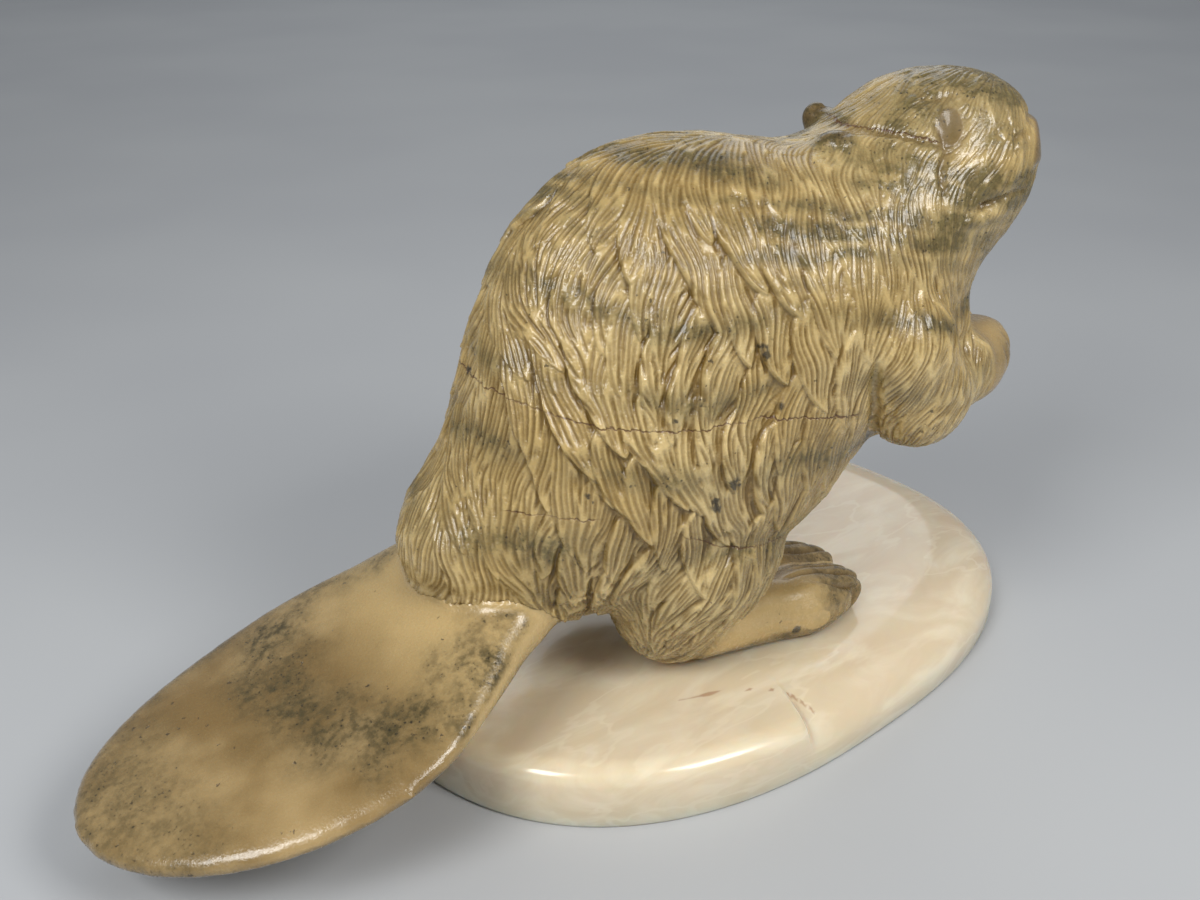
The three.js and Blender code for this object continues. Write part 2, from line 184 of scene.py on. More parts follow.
def outer_skin(grid, distance):
    """The surface that many millimetres out, without the closed hollows inside it."""
    points, quads = grid.convertToQuads(isovalue=distance)
    edges = quad_edges(quads)
    label = np.arange(len(points))
    while True:
        lowest = np.minimum(label[edges[:, 0]], label[edges[:, 1]])
        better = label.copy()
        np.minimum.at(better, edges[:, 0], lowest)
        np.minimum.at(better, edges[:, 1], lowest)
        better = better[better]
        if np.array_equal(better, label):
            break
        label = better
    kept = label == np.bincount(label).argmax()
    place = np.cumsum(kept) - 1
    return points[kept].astype(float), place[quads[kept[quads[:, 0]]]][:, ::-1]


def ball(centre, radii):
    made = bmesh.new()
    bmesh.ops.create_icosphere(made, subdivisions=3, radius=1)
    points = np.array([v.co for v in made.verts]) * radii + centre
    triangles = np.array([[v.index for v in f.verts] for f in made.faces])
    made.free()
    return points, triangles


print("cuts of up to", 2 * CUT_CLOSING, "mm will close")

# %% Fuse the solids
PAW_TURN = math.radians(-15)
paw_forward = np.array([math.cos(PAW_TURN), math.sin(PAW_TURN), 0])
paw_left = np.array([-math.sin(PAW_TURN), math.cos(PAW_TURN), 0])
WEB_AT = (-13.5, 8.0, 5.0)
WEB_RADII = (10.0, 10.0, 9.0)
solid_points, solid_triangles, solid_owner = joined(figure_nodes)
filled_points, filled_triangles = solid_points, solid_triangles
for name, side in (("forepaw_left", 1), ("forepaw_right", -1)):
    back, outward, up = WEB_AT
    at = middle(name) + back * paw_forward + side * outward * paw_left + np.array([0, 0, up])
    points, triangles = ball(at, WEB_RADII)
    filled_triangles = np.concatenate([filled_triangles, triangles + len(filled_points)])
    filled_points = np.concatenate([filled_points, points])
    print("stone kept behind", name, "at", np.round(at, 1))
grown, grown_quads = outer_skin(
    level_set(filled_points, FINE_CELL, triangles=filled_triangles), CUT_CLOSING)
block, block_quads = outer_skin(
    level_set(grown, BLOCK_CELL, quads=grown_quads), -CUT_CLOSING)
print("block of stone:", len(block), "points")

# %% [markdown]
# ## Know the parts of the animal
#
# The tools differ from part to part: hair on the trunk, polish on the tail, toes on the feet.
# Every point of the block asks which solid is nearest and takes its name from it. The
# answers are then blurred a little, so that one finish runs into the next.

# %% Name the parts
class Net:
    """The edges between points, over which values can spread."""

    def __init__(self, edges, count):
        self.one, self.other = edges.T
        self.count = count
        self.neighbours = np.bincount(edges.ravel(), minlength=count)

    def mean(self, values):
        total = np.bincount(self.one, values[self.other], self.count)
        total += np.bincount(self.other, values[self.one], self.count)
        return total / self.neighbours

    def blurred(self, values, rounds):
        values = values.astype(float)
        for _ in range(rounds):
            values = self.mean(values)
        return values


net = Net(quad_edges(block_quads), len(block))


def tree_of(points, faces):
    return BVHTree.FromPolygons(points.tolist(), faces.tolist())


def finder_of(points):
    finder = KDTree(len(points))
    for n, point in enumerate(points.tolist()):
        finder.insert(point, n)
    finder.balance()
    return finder


solids = tree_of(solid_points, solid_triangles)
nearest = [solids.find_nearest(Vector(p))[2] for p in block]
part = np.array([figure_nodes[solid_owner[n]] for n in nearest])


def share_of(*names, blur=4):
    return net.blurred(np.isin(part, names), blur)


regions = {
    "tail": share_of("tail", blur=6),
    "head": share_of("head", "eye_left", "eye_right", "ear_left", "ear_right", blur=10),
    "neck": share_of("neck", blur=12),
    "ear": share_of("ear_left", "ear_right", blur=3),
    "arm": share_of("foreleg_left", "foreleg_right", blur=7),
    "paw": share_of("forepaw_left", "forepaw_right", blur=4),
    "haunch": share_of("hindleg_left", "hindleg_right", blur=8),
    "foot": share_of("hindfoot_left", "hindfoot_right", blur=3),
}
print("points of each part:", {n: int(regions[n].sum()) for n in regions})

# %% [markdown]
# ## The tufts of the trunk
#
# A carver first cuts a coat in tufts: leaves thin at the root and thick at the tip, where
# each steps down onto the next, like shingles. The solid of the trunk has them already, but
# roughly, because its faces are as long as half a tuft. The script knows the same tufts:
# rays that fan out evenly from the heart of the trunk place them, and a number made from
# each one's count gives its own length, width and bend. Where leaves overlap the higher one
# wins, and that alone makes the steps. On the coat each leaf also leans: its rear edge
# stands high and drops onto the next, and its front edge hides under the one before. Its
# tip falls away softly, so that the steps run down the flank as long slanting edges.

# %% Know the tufts
TUFT_HEART = np.array([-35.0, -30.0, 108.0])
TUFT_FAN = np.array([78.0, 50.0, 72.0])
TRUNK_TUFTS = 320
TUFT_LENGTH = 31.0
TUFT_WIDTH = 15.0
TUFT_ROOT = -1.5
TUFT_RISE = 1.3
TUFT_OVER = 0.4
TUFT_DROP = 1.2
TUFT_DOME = 0.5
TUFT_BEND = 0.24
TUFT_GATHER = math.radians(16)
SOLID_EDGE = 3.0
COAT_EDGE = 1.6
COAT_LEAN = 0.85
COAT_FALL = 0.4
LEAF_WIDEST = 0.95
LEAF_ROOT_POWER = 0.45
LEAF_TIP_POWER = 0.6
HANG = np.array([-0.35, 0.0, -1.0])
SHOULDER_X = (-42, 0)
BACK_Z = (150, 182)
GOLDEN_ANGLE = math.pi * (3 - math.sqrt(5))


def ease(values, start, end):
    """A soft step: 0 up to the start and 1 from the end on."""
    t = np.clip((values - start) / (end - start), 0, 1)
    return t * t * (3 - 2 * t)


def unit(vectors):
    return vectors / np.maximum(np.linalg.norm(vectors, axis=-1, keepdims=True), 1e-9)


def flattened(directions, out):
    """Directions pressed flat onto the skin."""
    return unit(directions - out * (directions * out).sum(-1, keepdims=True))


def turned(directions, out, angle):
    """Directions on the skin, turned about the outward one."""
    angle = np.asarray(angle)[..., None]
    return np.cos(angle) * directions + np.sin(angle) * np.cross(out, directions)


def chance(n, use):
    """A number from 0 to 1 that depends on the tuft's count alone."""
    value = math.sin(n * 12.9898 + use * 78.233) * 43758.5453
    return value - math.floor(value)


def swing(points):
    """How far the hair swings to one side at each point, as an angle."""
    x, y, z = points.T
    return 0.22 * (np.sin(x / 9.5 + z / 13) + np.sin(y / 8 - z / 10 + 1.3))


def high_on_back(points):
    return ease(points[..., 2], *BACK_Z)


def trunk_boldness(points):
    forward = ease(points[..., 0], *SHOULDER_X)
    return np.clip(1 - 0.55 * forward - 0.45 * high_on_back(points), 0.25, 1)


def tuft(n, at, out, length, width):
    """One leaf: its place and directions, and its own size, bend, height and tilt."""
    lie = turned(flattened(HANG, out), out, swing(at))
    side = np.cross(out, lie)
    length = length * (0.85 + 0.4 * chance(n, 1))
    forward = np.sign(side[0] + 0.2) * (1 - 0.7 * high_on_back(at))
    return {
        "at": at, "out": out, "lie": lie, "side": side, "length": length,
        "width": width * (0.78 + 0.5 * chance(n, 2)),
        "bend": TUFT_BEND * (0.6 + 0.8 * chance(n, 3)) * forward * length,
        "lift": 0.5 * (chance(n, 4) - 0.5),
        "tilt": 0.7 * (chance(n, 5) - 0.5),
    }


def trunk_rays():
    """Directions that spread evenly over a ball, stretched to the trunk's proportions."""
    count = np.arange(TRUNK_TUFTS)
    level = 1 - (2 * count + 1) / TRUNK_TUFTS
    flat = np.sqrt(1 - level ** 2)
    fan = np.stack([flat * np.cos(count * GOLDEN_ANGLE),
                    flat * np.sin(count * GOLDEN_ANGLE), level], 1)
    return unit(fan * TUFT_FAN)


def lay_tufts(tufts, points, out, edge, lean=0.0, fall=0.0):
    """How high the tufts stand at each point, and how far its hairs turn."""
    by_height = np.argsort(points[:, 2])
    heights = points[by_height, 2]
    stands = np.full(len(points), TUFT_ROOT)
    turn = np.zeros(len(points))
    for t in tufts:
        reach = 0.75 * t["length"]
        first, last = np.searchsorted(heights, t["at"][2] + np.array([-reach, reach]))
        near = by_height[first:last]
        away = points[near] - t["at"]
        close = (np.abs(away[:, 0]) < reach) & (np.abs(away[:, 1]) < reach)
        near, away = near[close], away[close]
        u = away @ t["lie"] / t["length"] + 0.5
        inside = (u > 0) & (u < 1) & (out[near] @ t["out"] > 0.1)
        near, away, u = near[inside], away[inside], u[inside]
        half = LEAF_WIDEST * t["width"] * u ** LEAF_ROOT_POWER * (1 - u) ** LEAF_TIP_POWER
        v = away @ t["side"] - t["bend"] * (u * u - 0.3)
        inside = np.abs(v) < half
        near, u, v, half = near[inside], u[inside], v[inside], half[inside]
        s = v / half
        leaf = TUFT_ROOT + TUFT_RISE * u + t["lift"] + t["tilt"] * s - TUFT_DOME * s * s
        at_edge = 1 - ease(half - np.abs(v), 0, edge)
        leaf -= lean * s * t["side"][0] + fall * ease(u, 0.5, 1) + TUFT_DROP * at_edge
        higher = leaf > stands[near]
        won = near[higher]
        stands[won] = leaf[higher]
        turn[won] = (np.arctan(2 * t["bend"] * u / t["length"]) - TUFT_GATHER * s * u)[higher]
    return stands, turn


print("rays from the heart of the trunk:", len(trunk_rays()))

# %% [markdown]
# ## A smooth block
#
# The facets of the solids are rounded away first: two opposite pulls toward the neighbours,
# one a little stronger, smooth a surface without shrinking it. The rough tufts would stay
# as dim swellings under the finished ones. So what the pulls leave of them is worked out
# beside the block, by the same pulls, and taken off. The eyes are carved as hollows on this
# animal and its ears are low mounds, so these are sunk into the skin as well.

# %% Round the block
ROUNDS = 90
PULLS = (0.6, -0.61)
CALM_NEAR_LIMBS = (1, 7)
SUNK = {"eye_left": 60, "eye_right": 60, "ear_right": 9, "ear_left": 2}
LIMBS = ["foreleg", "forepaw", "hindleg", "hindfoot"]
LIMB_NODES = [n for n in figure_nodes if n.split("_")[0] in LIMBS or n == "tail"]


def directions_of(points, quads):
    """The outward direction at every point, from the faces round it."""
    a, b, c, d = (points[quads[:, n]] for n in range(4))
    face = np.cross(c - a, d - b)
    total = np.zeros_like(points)
    for n in range(4):
        np.add.at(total, quads[:, n], face)
    return unit(total)


block_out = directions_of(block, block_quads)
surface_tree = tree_of(block, block_quads)


def solid_tufts():
    found = []
    for n, ray in enumerate(trunk_rays()):
        at, out, _, _ = surface_tree.ray_cast(Vector(TUFT_HEART), Vector(ray))
        found.append(tuft(n, np.array(at), np.array(out), TUFT_LENGTH, TUFT_WIDTH))
    return found


limb_points, limb_triangles, _ = joined(LIMB_NODES)
limb_tree = tree_of(limb_points, limb_triangles)
clear = np.array([limb_tree.find_nearest(Vector(p))[3] for p in block])
rough_tufts, _ = lay_tufts(solid_tufts(), block, block_out, SOLID_EDGE)
rough_tufts = trunk_boldness(block) * (rough_tufts + TUFT_OVER) * ease(clear, *CALM_NEAR_LIMBS)
left_over = block_out * (rough_tufts * (part == "trunk"))[:, None]

small = regions["foot"] + regions["paw"] + regions["ear"] + 0.5 * regions["head"]
pull_share = (1 - 0.5 * np.clip(small, 0, 1))[:, None]


def pulled(vectors, pull):
    mean = np.stack([net.mean(vectors[:, a]) for a in range(3)], 1)
    return vectors + pull * pull_share * (mean - vectors)


for _ in range(ROUNDS):
    for pull in PULLS:
        block = pulled(block, pull)
        left_over = pulled(left_over, pull)
block -= left_over


def sink(name, rounds):
    """Draws what stands proud of the skin back into it."""
    share = np.clip(3 * share_of(name, blur=6), 0, 1)
    for _ in range(rounds):
        for axis in range(3):
            block[:, axis] += share * (net.mean(block[:, axis]) - block[:, axis])


for name, rounds in SUNK.items():
    sink(name, rounds)
block_out = directions_of(block, block_quads)
print("tufts taken off the block: up to", round(float(np.abs(left_over).max()), 2), "mm")

# %% [markdown]
# ## Painted shade in the hollows
#
# Polished stone shows pale on its ridges. The hollows, such as the belly and the folds of the
# arms, are painted darker and golden brown: painted shade, with the golden glow of light
# through the stone. To know the hollows, rays go out from every point of the block and count
# how much stone they meet nearby.

# %% Find the hollows
RAYS = 12
RAY_REACH = 45
RAY_START = 0.8


def hollows():
    """The share of rays from each point that meet stone nearby."""
    tree = tree_of(block, block_quads)
    turns = np.arange(RAYS) * GOLDEN_ANGLE
    rise = (np.arange(RAYS) + 0.5) / RAYS
    flat = np.sqrt(1 - rise ** 2)
    fan = np.stack([flat * np.cos(turns), flat * np.sin(turns), rise], 1)
    met = np.zeros(len(block))
    for n, direction in enumerate(block_out):
        turn = Vector(direction).to_track_quat("Z", "Y").to_matrix()
        start = Vector(block[n] + direction * RAY_START)
        for ray in fan:
            if tree.ray_cast(start, turn @ Vector(ray), RAY_REACH)[0]:
                met[n] += 1 / RAYS
    return net.blurred(met, 4)


# The hollow share paints shade: the deeper the hollow, the darker and more golden its paint.
regions["hollow"] = hollows()
print("hollow share:", np.round(np.percentile(regions["hollow"], [10, 50, 90, 99]), 2))

# %% [markdown]
# ## Flatten the skin, then refine it
#
# The finished skin is too fine for one mesh, so it is kept in pieces of fewer than 200,000
# triangles that meet without a seam. The pieces are chosen, and unwrapped on a flat sheet,
# while the mesh is still coarse. Rounds of subdivision then refine it and carry the
# unwrapping and the parts' names along: two rounds for the coat, with points less than half
# a millimetre apart, and one for the smooth tail. Under the last hairs of the rump the two
# overlap.

# %% Choose the pieces
TRUNK_PIECES = ["rump", "hips", "flanks", "ribs", "breast"]
TRUNK_CUTS = [-90, -62, -32, 0]
PIECE_OF = {
    "neck": "neck", "head": "head",
    "ear_left": "head", "ear_right": "head", "eye_left": "head", "eye_right": "head",
    "foreleg_left": "forelegs", "foreleg_right": "forelegs",
    "forepaw_left": "forelegs", "forepaw_right": "forelegs",
    "hindleg_left": "hindlegs", "hindleg_right": "hindlegs",
    "hindfoot_left": "hindfeet", "hindfoot_right": "hindfeet",
}
coat_names = TRUNK_PIECES + sorted(set(PIECE_OF.values()))
quad_centres = block[block_quads].mean(axis=1)
quad_part = part[block_quads[:, 0]]
quad_tail = regions["tail"][block_quads].mean(axis=1)
quad_piece = np.digitize(quad_centres[:, 0], TRUNK_CUTS)
for node, name in PIECE_OF.items():
    quad_piece[quad_part == node] = coat_names.index(name)
print("rough faces of each piece:", dict(zip(coat_names, np.bincount(quad_piece).tolist())))

# %% Unwrap and subdivide
UV_NAME = "OFBake"


def mesh_from(name, points, quads):
    mesh = bpy.data.meshes.new(name)
    mesh.vertices.add(len(points))
    mesh.vertices.foreach_set("co", (points * MM).astype(np.float32).ravel())
    mesh.loops.add(quads.size)
    mesh.loops.foreach_set("vertex_index", quads.astype(np.int32).ravel())
    mesh.polygons.add(len(quads))
    starts = np.arange(0, quads.size, 4, dtype=np.int32)
    mesh.polygons.foreach_set("loop_start", starts)
    mesh.update(calc_edges=True)
    mesh.shade_smooth()
    return mesh


def add_values(mesh, name, values, kind="FLOAT", domain="POINT"):
    mesh.attributes.new(name, kind, domain).data.foreach_set("value", values)


def read_values(mesh, name, kind=float):
    data = mesh.attributes[name].data
    values = np.empty(len(data), kind)
    data.foreach_get("value", values)
    return values


def refined(chosen, pieces, levels):
    """The chosen faces of the block as one fine mesh, unwrapped piece by piece."""
    used, quads = np.unique(block_quads[chosen], return_inverse=True)
    mesh = mesh_from("rough", block[used], quads.reshape(-1, 4))
    for name, values in regions.items():
        add_values(mesh, name, values[used])
    add_values(mesh, "piece", pieces[chosen], "INT", "FACE")
    mesh.uv_layers.new(name=UV_NAME)
    rough = bpy.data.objects.new("rough", mesh)
    bpy.context.scene.collection.objects.link(rough)
    bpy.context.view_layer.objects.active = rough
    rough.select_set(True)
    for number in np.unique(pieces[chosen]):
        mesh.polygons.foreach_set("select", pieces[chosen] == number)
        bpy.ops.object.mode_set(mode="EDIT")
        bpy.ops.uv.smart_project(angle_limit=math.radians(66), island_margin=0.004)
        bpy.ops.object.mode_set(mode="OBJECT")
    finer = rough.modifiers.new("finer", "SUBSURF")
    finer.levels = levels
    finer.uv_smooth = "NONE"
    depsgraph = bpy.context.evaluated_depsgraph_get()
    fine = bpy.data.meshes.new_from_object(rough.evaluated_get(depsgraph))
    bpy.data.objects.remove(rough)
    return fine


# %% Make the two skins
class Skin:
    """A refined surface: its points in millimetres, which way is out, and the parts' shares."""

    def __init__(self, mesh):
        self.mesh = mesh
        self.read()
        for name in regions:
            setattr(self, name, read_values(mesh, name))

    def read(self):
        flat = np.empty(len(self.mesh.vertices) * 3, np.float32)
        self.mesh.vertices.foreach_get("co", flat)
        self.points = flat.reshape(-1, 3).astype(float) / MM
        self.mesh.vertex_normals.foreach_get("vector", flat)
        self.out = flat.reshape(-1, 3).astype(float)

    def net(self):
        pairs = np.empty(len(self.mesh.edges) * 2, np.int32)
        self.mesh.edges.foreach_get("vertices", pairs)
        return Net(pairs.reshape(-1, 2), len(self.points))

    def shift(self, distance):
        moved = self.points + self.out * distance[:, None]
        self.mesh.vertices.foreach_set("co", (moved * MM).astype(np.float32).ravel())
        self.mesh.update()
        self.read()


skin = Skin(refined(quad_tail < 0.8, quad_piece, 2))
paddle = Skin(refined(quad_tail > 0.2, np.zeros(len(block_quads), int), 1))
tail, head, neck, ear = skin.tail, skin.head, skin.neck, skin.ear
arm, paw, haunch, foot = skin.arm, skin.paw, skin.haunch, skin.foot
print("coat:", len(skin.points), "points; tail:", len(paddle.points), "points")

# %% [markdown]
# ## Measures for carving
#
# Carving needs places on the animal, not places in the room. The head's own directions come
# from its two eyes, and the feet's from the way the animal stands. Soft random waves stand
# in for the unsteady hand: a sum of a few plane waves in random directions is smooth, needs
# no grid, and gives the same answer each time.

# %% Measures and soft random waves
random = np.random.default_rng(7)


def new_waves(length, count=9):
    """Soft random waves that can be asked for at any place."""
    directions = unit(random.normal(size=(count, 3)))
    turns = 2 * math.pi / (length * random.uniform(0.8, 1.3, count))
    starts = random.uniform(0, 2 * math.pi, count)

    def at(points):
        phases = points @ (directions * turns[:, None]).T + starts
        return np.sin(phases).sum(axis=1) / math.sqrt(count / 2)

    return at


def ridge(distance, width):
    """1 along the middle, falling off softly to both sides."""
    return np.exp(-((distance / width) ** 2))


def seen_from(points, origin, forward, left):
    """How far forward, to the left and up from the origin the points are."""
    up = np.cross(forward, left)
    away = points - origin
    return away @ forward, away @ left, away @ up


def distance_to_line(x, z, line):
    """How far each place in a plane is from a bent line, and how far along it, from 0 to 1."""
    best = np.full(len(x), 1e9)
    along = np.zeros(len(x))
    steps = len(line) - 1
    for n in range(steps):
        (ax, az), (bx, bz) = line[n], line[n + 1]
        dx, dz = bx - ax, bz - az
        t = np.clip(((x - ax) * dx + (z - az) * dz) / (dx * dx + dz * dz), 0, 1)
        d = np.hypot(x - ax - t * dx, z - az - t * dz)
        nearer = d < best
        best[nearer] = d[nearer]
        along[nearer] = (n + t[nearer]) / steps
    return best, along


HEAD_TIP = math.radians(6)
eyes_middle = (middle("eye_left") + middle("eye_right")) / 2
head_left = unit(middle("eye_left") - middle("eye_right"))
level_forward = unit(np.cross(head_left, [0, 0, 1]))
head_forward = level_forward * math.cos(HEAD_TIP) - np.array([0, 0, math.sin(HEAD_TIP)])
print("the head faces", np.round(head_forward, 2))

# %% [markdown]
# ## The face, the toes and the fingers
#
# Each of these is a shallow cut or swell on a surface that is already there, so it is a
# shift of the skin along its own outward direction. A cut is a soft valley along a line
# drawn on the side of the head. The lines are told once and serve both sides.

# %% Cut the face
hx, hy, hz = seen_from(skin.points, eyes_middle, head_forward, head_left)
side_face = head * ease(np.abs(hy), 7, 13)
form = np.zeros(len(skin.points))

EYE_AT = (0.8, -0.4)
EYE_SIZE = (2.5, 3.2)
EYE_DEPTH = 1.7
eye_ring = np.hypot((hx - EYE_AT[0]) / EYE_SIZE[0], (hz - EYE_AT[1]) / EYE_SIZE[1])
eye = 0.7 * side_face * ease(eye_ring, 2.4, 0.4)
form -= side_face * EYE_DEPTH * ridge(eye_ring, 1.5)

TEMPLE_CREASE = [
    (-31.0, -6.0), (-26.0, -4.4), (-19.0, -3.7), (-11.5, -3.9), (-6.0, -4.4), (-0.8, -5.2)]
CHEEK_CREASE = [(-3.0, -1.0), (-0.8, -4.0), (0.7, -6.5), (-1.4, -11.0), (-0.6, -15.0), (1.0, -18.5)]
MOUTH = [(29.0, -17.5), (24.0, -18.0), (19.0, -19.5), (14.6, -21.0), (8.0, -22.8)]
NOSTRIL = [(26.5, -2.5), (24.0, -1.2), (21.6, -2.6), (21.4, -5.4), (23.2, -7.2)]
BROW = [(-12.0, 7.5), (-6.0, 5.5), (-3.0, 6.0), (1.0, 7.4), (6.0, 7.0)]
# Each line with how deep and how wide it is cut.
FACE_LINES = [
    (TEMPLE_CREASE, 1.2, 1.0), (CHEEK_CREASE, 1.1, 1.2), (MOUTH, 1.1, 0.9),
    (NOSTRIL, 1.3, 0.9), (BROW, 0.7, 1.0),
]
for line, depth, width in FACE_LINES:
    away, along = distance_to_line(hx, hz, line)
    form -= side_face * depth * ridge(away, width) * np.sin(math.pi * (0.12 + 0.76 * along))
LOWER_LIP = [(22, -23), (14, -25), (9, -25)]
MOUTH_CORNER = (14.6, -21.0)
WHISKER_PAD = (17, -10)
lip, _ = distance_to_line(hx, hz, LOWER_LIP)
form += side_face * 0.9 * ridge(lip, 2.4)
corner = np.hypot(hx - MOUTH_CORNER[0], hz - MOUTH_CORNER[1])
form -= side_face * 1.8 * ridge(corner, 1.5)

# The bare pad of the nose, the crease above it, its nostrils and the cleft below.
nose = head * ease(hx, 27, 30) * ease(hz, -13, -9) * ease(hz, 4, 1)
form += 0.5 * nose
form -= head * 1.1 * ridge(hz - 2.4, 1.3) * ease(hx, 24, 28)
form -= nose * 1.2 * ridge(np.hypot(np.abs(hy) - 5.5, hz + 5.5), 1.9)
form -= head * 0.9 * ridge(hy, 0.9) * ease(hx, 24, 28) * ease(hz, -19, -16) * ease(hz, -8, -11)
whiskers = side_face * ease(np.hypot(hx - WHISKER_PAD[0], hz - WHISKER_PAD[1]), 10, 6)
form += 0.9 * whiskers
print("deepest cut in the face:", round(float(form.min()), 1), "mm")

# %% Part the toes and the fingers
FEET_TURN = math.radians(-6)
feet_forward = np.array([math.cos(FEET_TURN), math.sin(FEET_TURN), 0])
feet_left = np.array([-math.sin(FEET_TURN), math.cos(FEET_TURN), 0])
# Across the foot, where each groove starts along it, and how deep it is.
TOE_LINES = [(-0.5, 0.0, 2.2), (4.6, 5.0, 1.6), (-5.6, 8.0, 1.5)]
toes = np.zeros(len(skin.points))
for name, side in (("hindfoot_left", -1), ("hindfoot_right", 1)):
    fx, fy, fz = seen_from(skin.points, middle(name), feet_forward, feet_left * side)
    this_foot = foot * (fy > -12) * (fy < 10) * (fx > -40)
    for across, start, depth in TOE_LINES:
        wander = 0.8 * np.sin(fx * 0.16 + across)
        form -= this_foot * depth * ridge(fy - across - wander, 0.9) * ease(fx, start, start + 13)
    toes += this_foot * np.maximum(ease(fx, 6, 20), ease(fz, -4, -8))
    form += this_foot * 0.7 * ridge(fy + 6.5, 2.6) * ease(fz, 0, 5) * ease(fx, -20, -5)

FINGERS = 4
FINGER_PITCH = 4.6
for name in ("forepaw_left", "forepaw_right"):
    px, py, pz = seen_from(skin.points, middle(name), paw_forward, paw_left)
    phase = py / FINGER_PITCH + 0.5 * FINGERS
    between = np.abs(phase - np.round(phase)) * FINGER_PITCH
    near = paw * ease(np.abs(px), 22, 16) * ease(np.abs(py), 14, 11)
    form -= near * 1.2 * ridge(between, 0.8) * ease(px, 0, 5) * ease(pz, 12, 6)

# How deep the face, toe and finger cuts go, from 0 to 1. The paint darkens these creases: painted
# shade.
creases = np.clip(-form / 1.5, 0, 1)
ARM_CREASE = 2.4
for name in ("foreleg_left", "foreleg_right"):
    ax, ay, az = seen_from(skin.points, middle(name), paw_forward, paw_left)
    behind = ease(ax, -4, -12) * ease(az, 14, 4) * (np.abs(ay) < 24)
    form -= ARM_CREASE * behind * ridge(arm - 0.42, 0.2)

skin.shift(form)
print("toes and fingers: cut", round(float(form.min()), 1), "mm at most")

# %% [markdown]
# ## Which way the hair lies
#
# Hair grows from nose to tail and hangs down the flanks. Along the back it lies backward,
# and as the side gets steeper it turns down, which happens by itself when one fixed slanted
# direction is pressed flat onto the skin. Slow waves then swing it from side to side, and
# quicker ones unsettle it within each tuft.

# %% Lay the hair
DOWN = np.array([0.0, 0.0, -1.0])
BACK = np.array([-1.0, 0.0, 0.0])


def lie_of_hair():
    """Body, thigh, arm and head each have a way of their own, and blend where they meet."""
    body = np.clip(1 - head - arm - haunch, 0, 1)
    lie = body[:, None] * HANG
    lie = lie + haunch[:, None] * (DOWN + 0.75 * BACK)
    lie = lie + arm[:, None] * (DOWN - 0.55 * paw_forward)
    lie = lie + head[:, None] * (1.3 * DOWN - 0.6 * head_forward)
    swings = swing(skin.points) * (1 - 0.5 * arm) + 0.16 * head * new_waves(13)(skin.points)
    return turned(flattened(lie, skin.out), skin.out, swings)


lie = lie_of_hair()
hairy = np.clip(1 - foot - paw - 0.7 * ear, 0, 1)
hairy *= 1 - ease(eye_ring, 1.9, 1.1) * side_face
hairy *= 1 - 0.75 * np.clip(nose, 0, 1)
hairy = ease(hairy, 0.25, 0.75)
print("hair covers", round(float(hairy.mean()), 2), "of the coat's skin")

# %% [markdown]
# ## All the tufts
#
# To the trunk's tufts come smaller ones for the neck, legs, arms and head. These are spread
# so that none starts too near another. The tufts stand out boldly on the flank, and hardly
# on the shoulders, the back, the face and the round of the rump.

# %% Size the tufts
TRUNK_BOLDNESS = 2.0
LIMB_BOLDNESS = 0.6
RUMP_X = (-84, -104)


def less_on(value, **amounts):
    """A measure of the trunk's coat, made smaller on the parts that are named."""
    for name, amount in amounts.items():
        value = value - amount * getattr(skin, name)
    return value


limb_share = np.clip(head + arm + haunch + neck, 0, 1)
tuft_length = less_on(TUFT_LENGTH, head=16, arm=14, haunch=9, neck=9)
tuft_width = less_on(TUFT_WIDTH, head=7.5, arm=6.5, haunch=4.5, neck=4)
forward = ease(skin.points[:, 0], *SHOULDER_X)
rear = ease(skin.points[:, 0], *RUMP_X)
boldness = (TRUNK_BOLDNESS - 0.7 * forward - 1.1 * rear) * trunk_boldness(skin.points)
limb_boldness = less_on(LIMB_BOLDNESS, head=0.25, arm=0.1, neck=0.1, haunch=-0.5)
boldness = boldness * (1 - limb_share) + limb_share * limb_boldness
print("boldness from", round(float(boldness.min()), 2), "to", round(float(boldness.max()), 2))

# %% Spread the tufts
HAIRY_ENOUGH = 0.3
MOST_TUFTS = 4000
TRIES = 20000
APART_ALONG = 0.42
APART_ACROSS = 0.5
APART_DEEP = 10
sideways = np.cross(skin.out, lie)


def tufts_at_rays():
    """The trunk's tufts again, now on the rounded skin."""
    tree = tree_of(block, block_quads)
    finder = finder_of(skin.points)
    found = []
    for n, ray in enumerate(trunk_rays()):
        at = tree.ray_cast(Vector(TUFT_HEART), Vector(ray))[0]
        _, place, away = finder.find(at)
        if away < 3 and hairy[place] > HAIRY_ENOUGH and limb_share[place] < 0.6:
            found.append(tuft(n, np.array(at), skin.out[place], TUFT_LENGTH, TUFT_WIDTH))
    return found, finder


def small_tufts(taken):
    """Adds tufts on the limbs, neck and head, none too near another."""
    wanted = np.flatnonzero((hairy > HAIRY_ENOUGH) & (limb_share > 0.3))
    centres = np.zeros((MOST_TUFTS, 3))
    centres[:len(taken)] = [t["at"] for t in taken]
    count = len(taken)
    for place in random.permutation(wanted)[:TRIES]:
        apart = centres[:count] - skin.points[place]
        along = apart @ lie[place] / (APART_ALONG * tuft_length[place])
        across = apart @ sideways[place] / (APART_ACROSS * tuft_width[place])
        deep = apart @ skin.out[place] / APART_DEEP
        if (along ** 2 + across ** 2 + deep ** 2).min() < 1:
            continue
        centres[count] = skin.points[place]
        new = tuft(count, skin.points[place], skin.out[place],
                   tuft_length[place], tuft_width[place])
        new["lie"], new["side"] = lie[place], sideways[place]
        taken.append(new)
        count += 1
    return taken


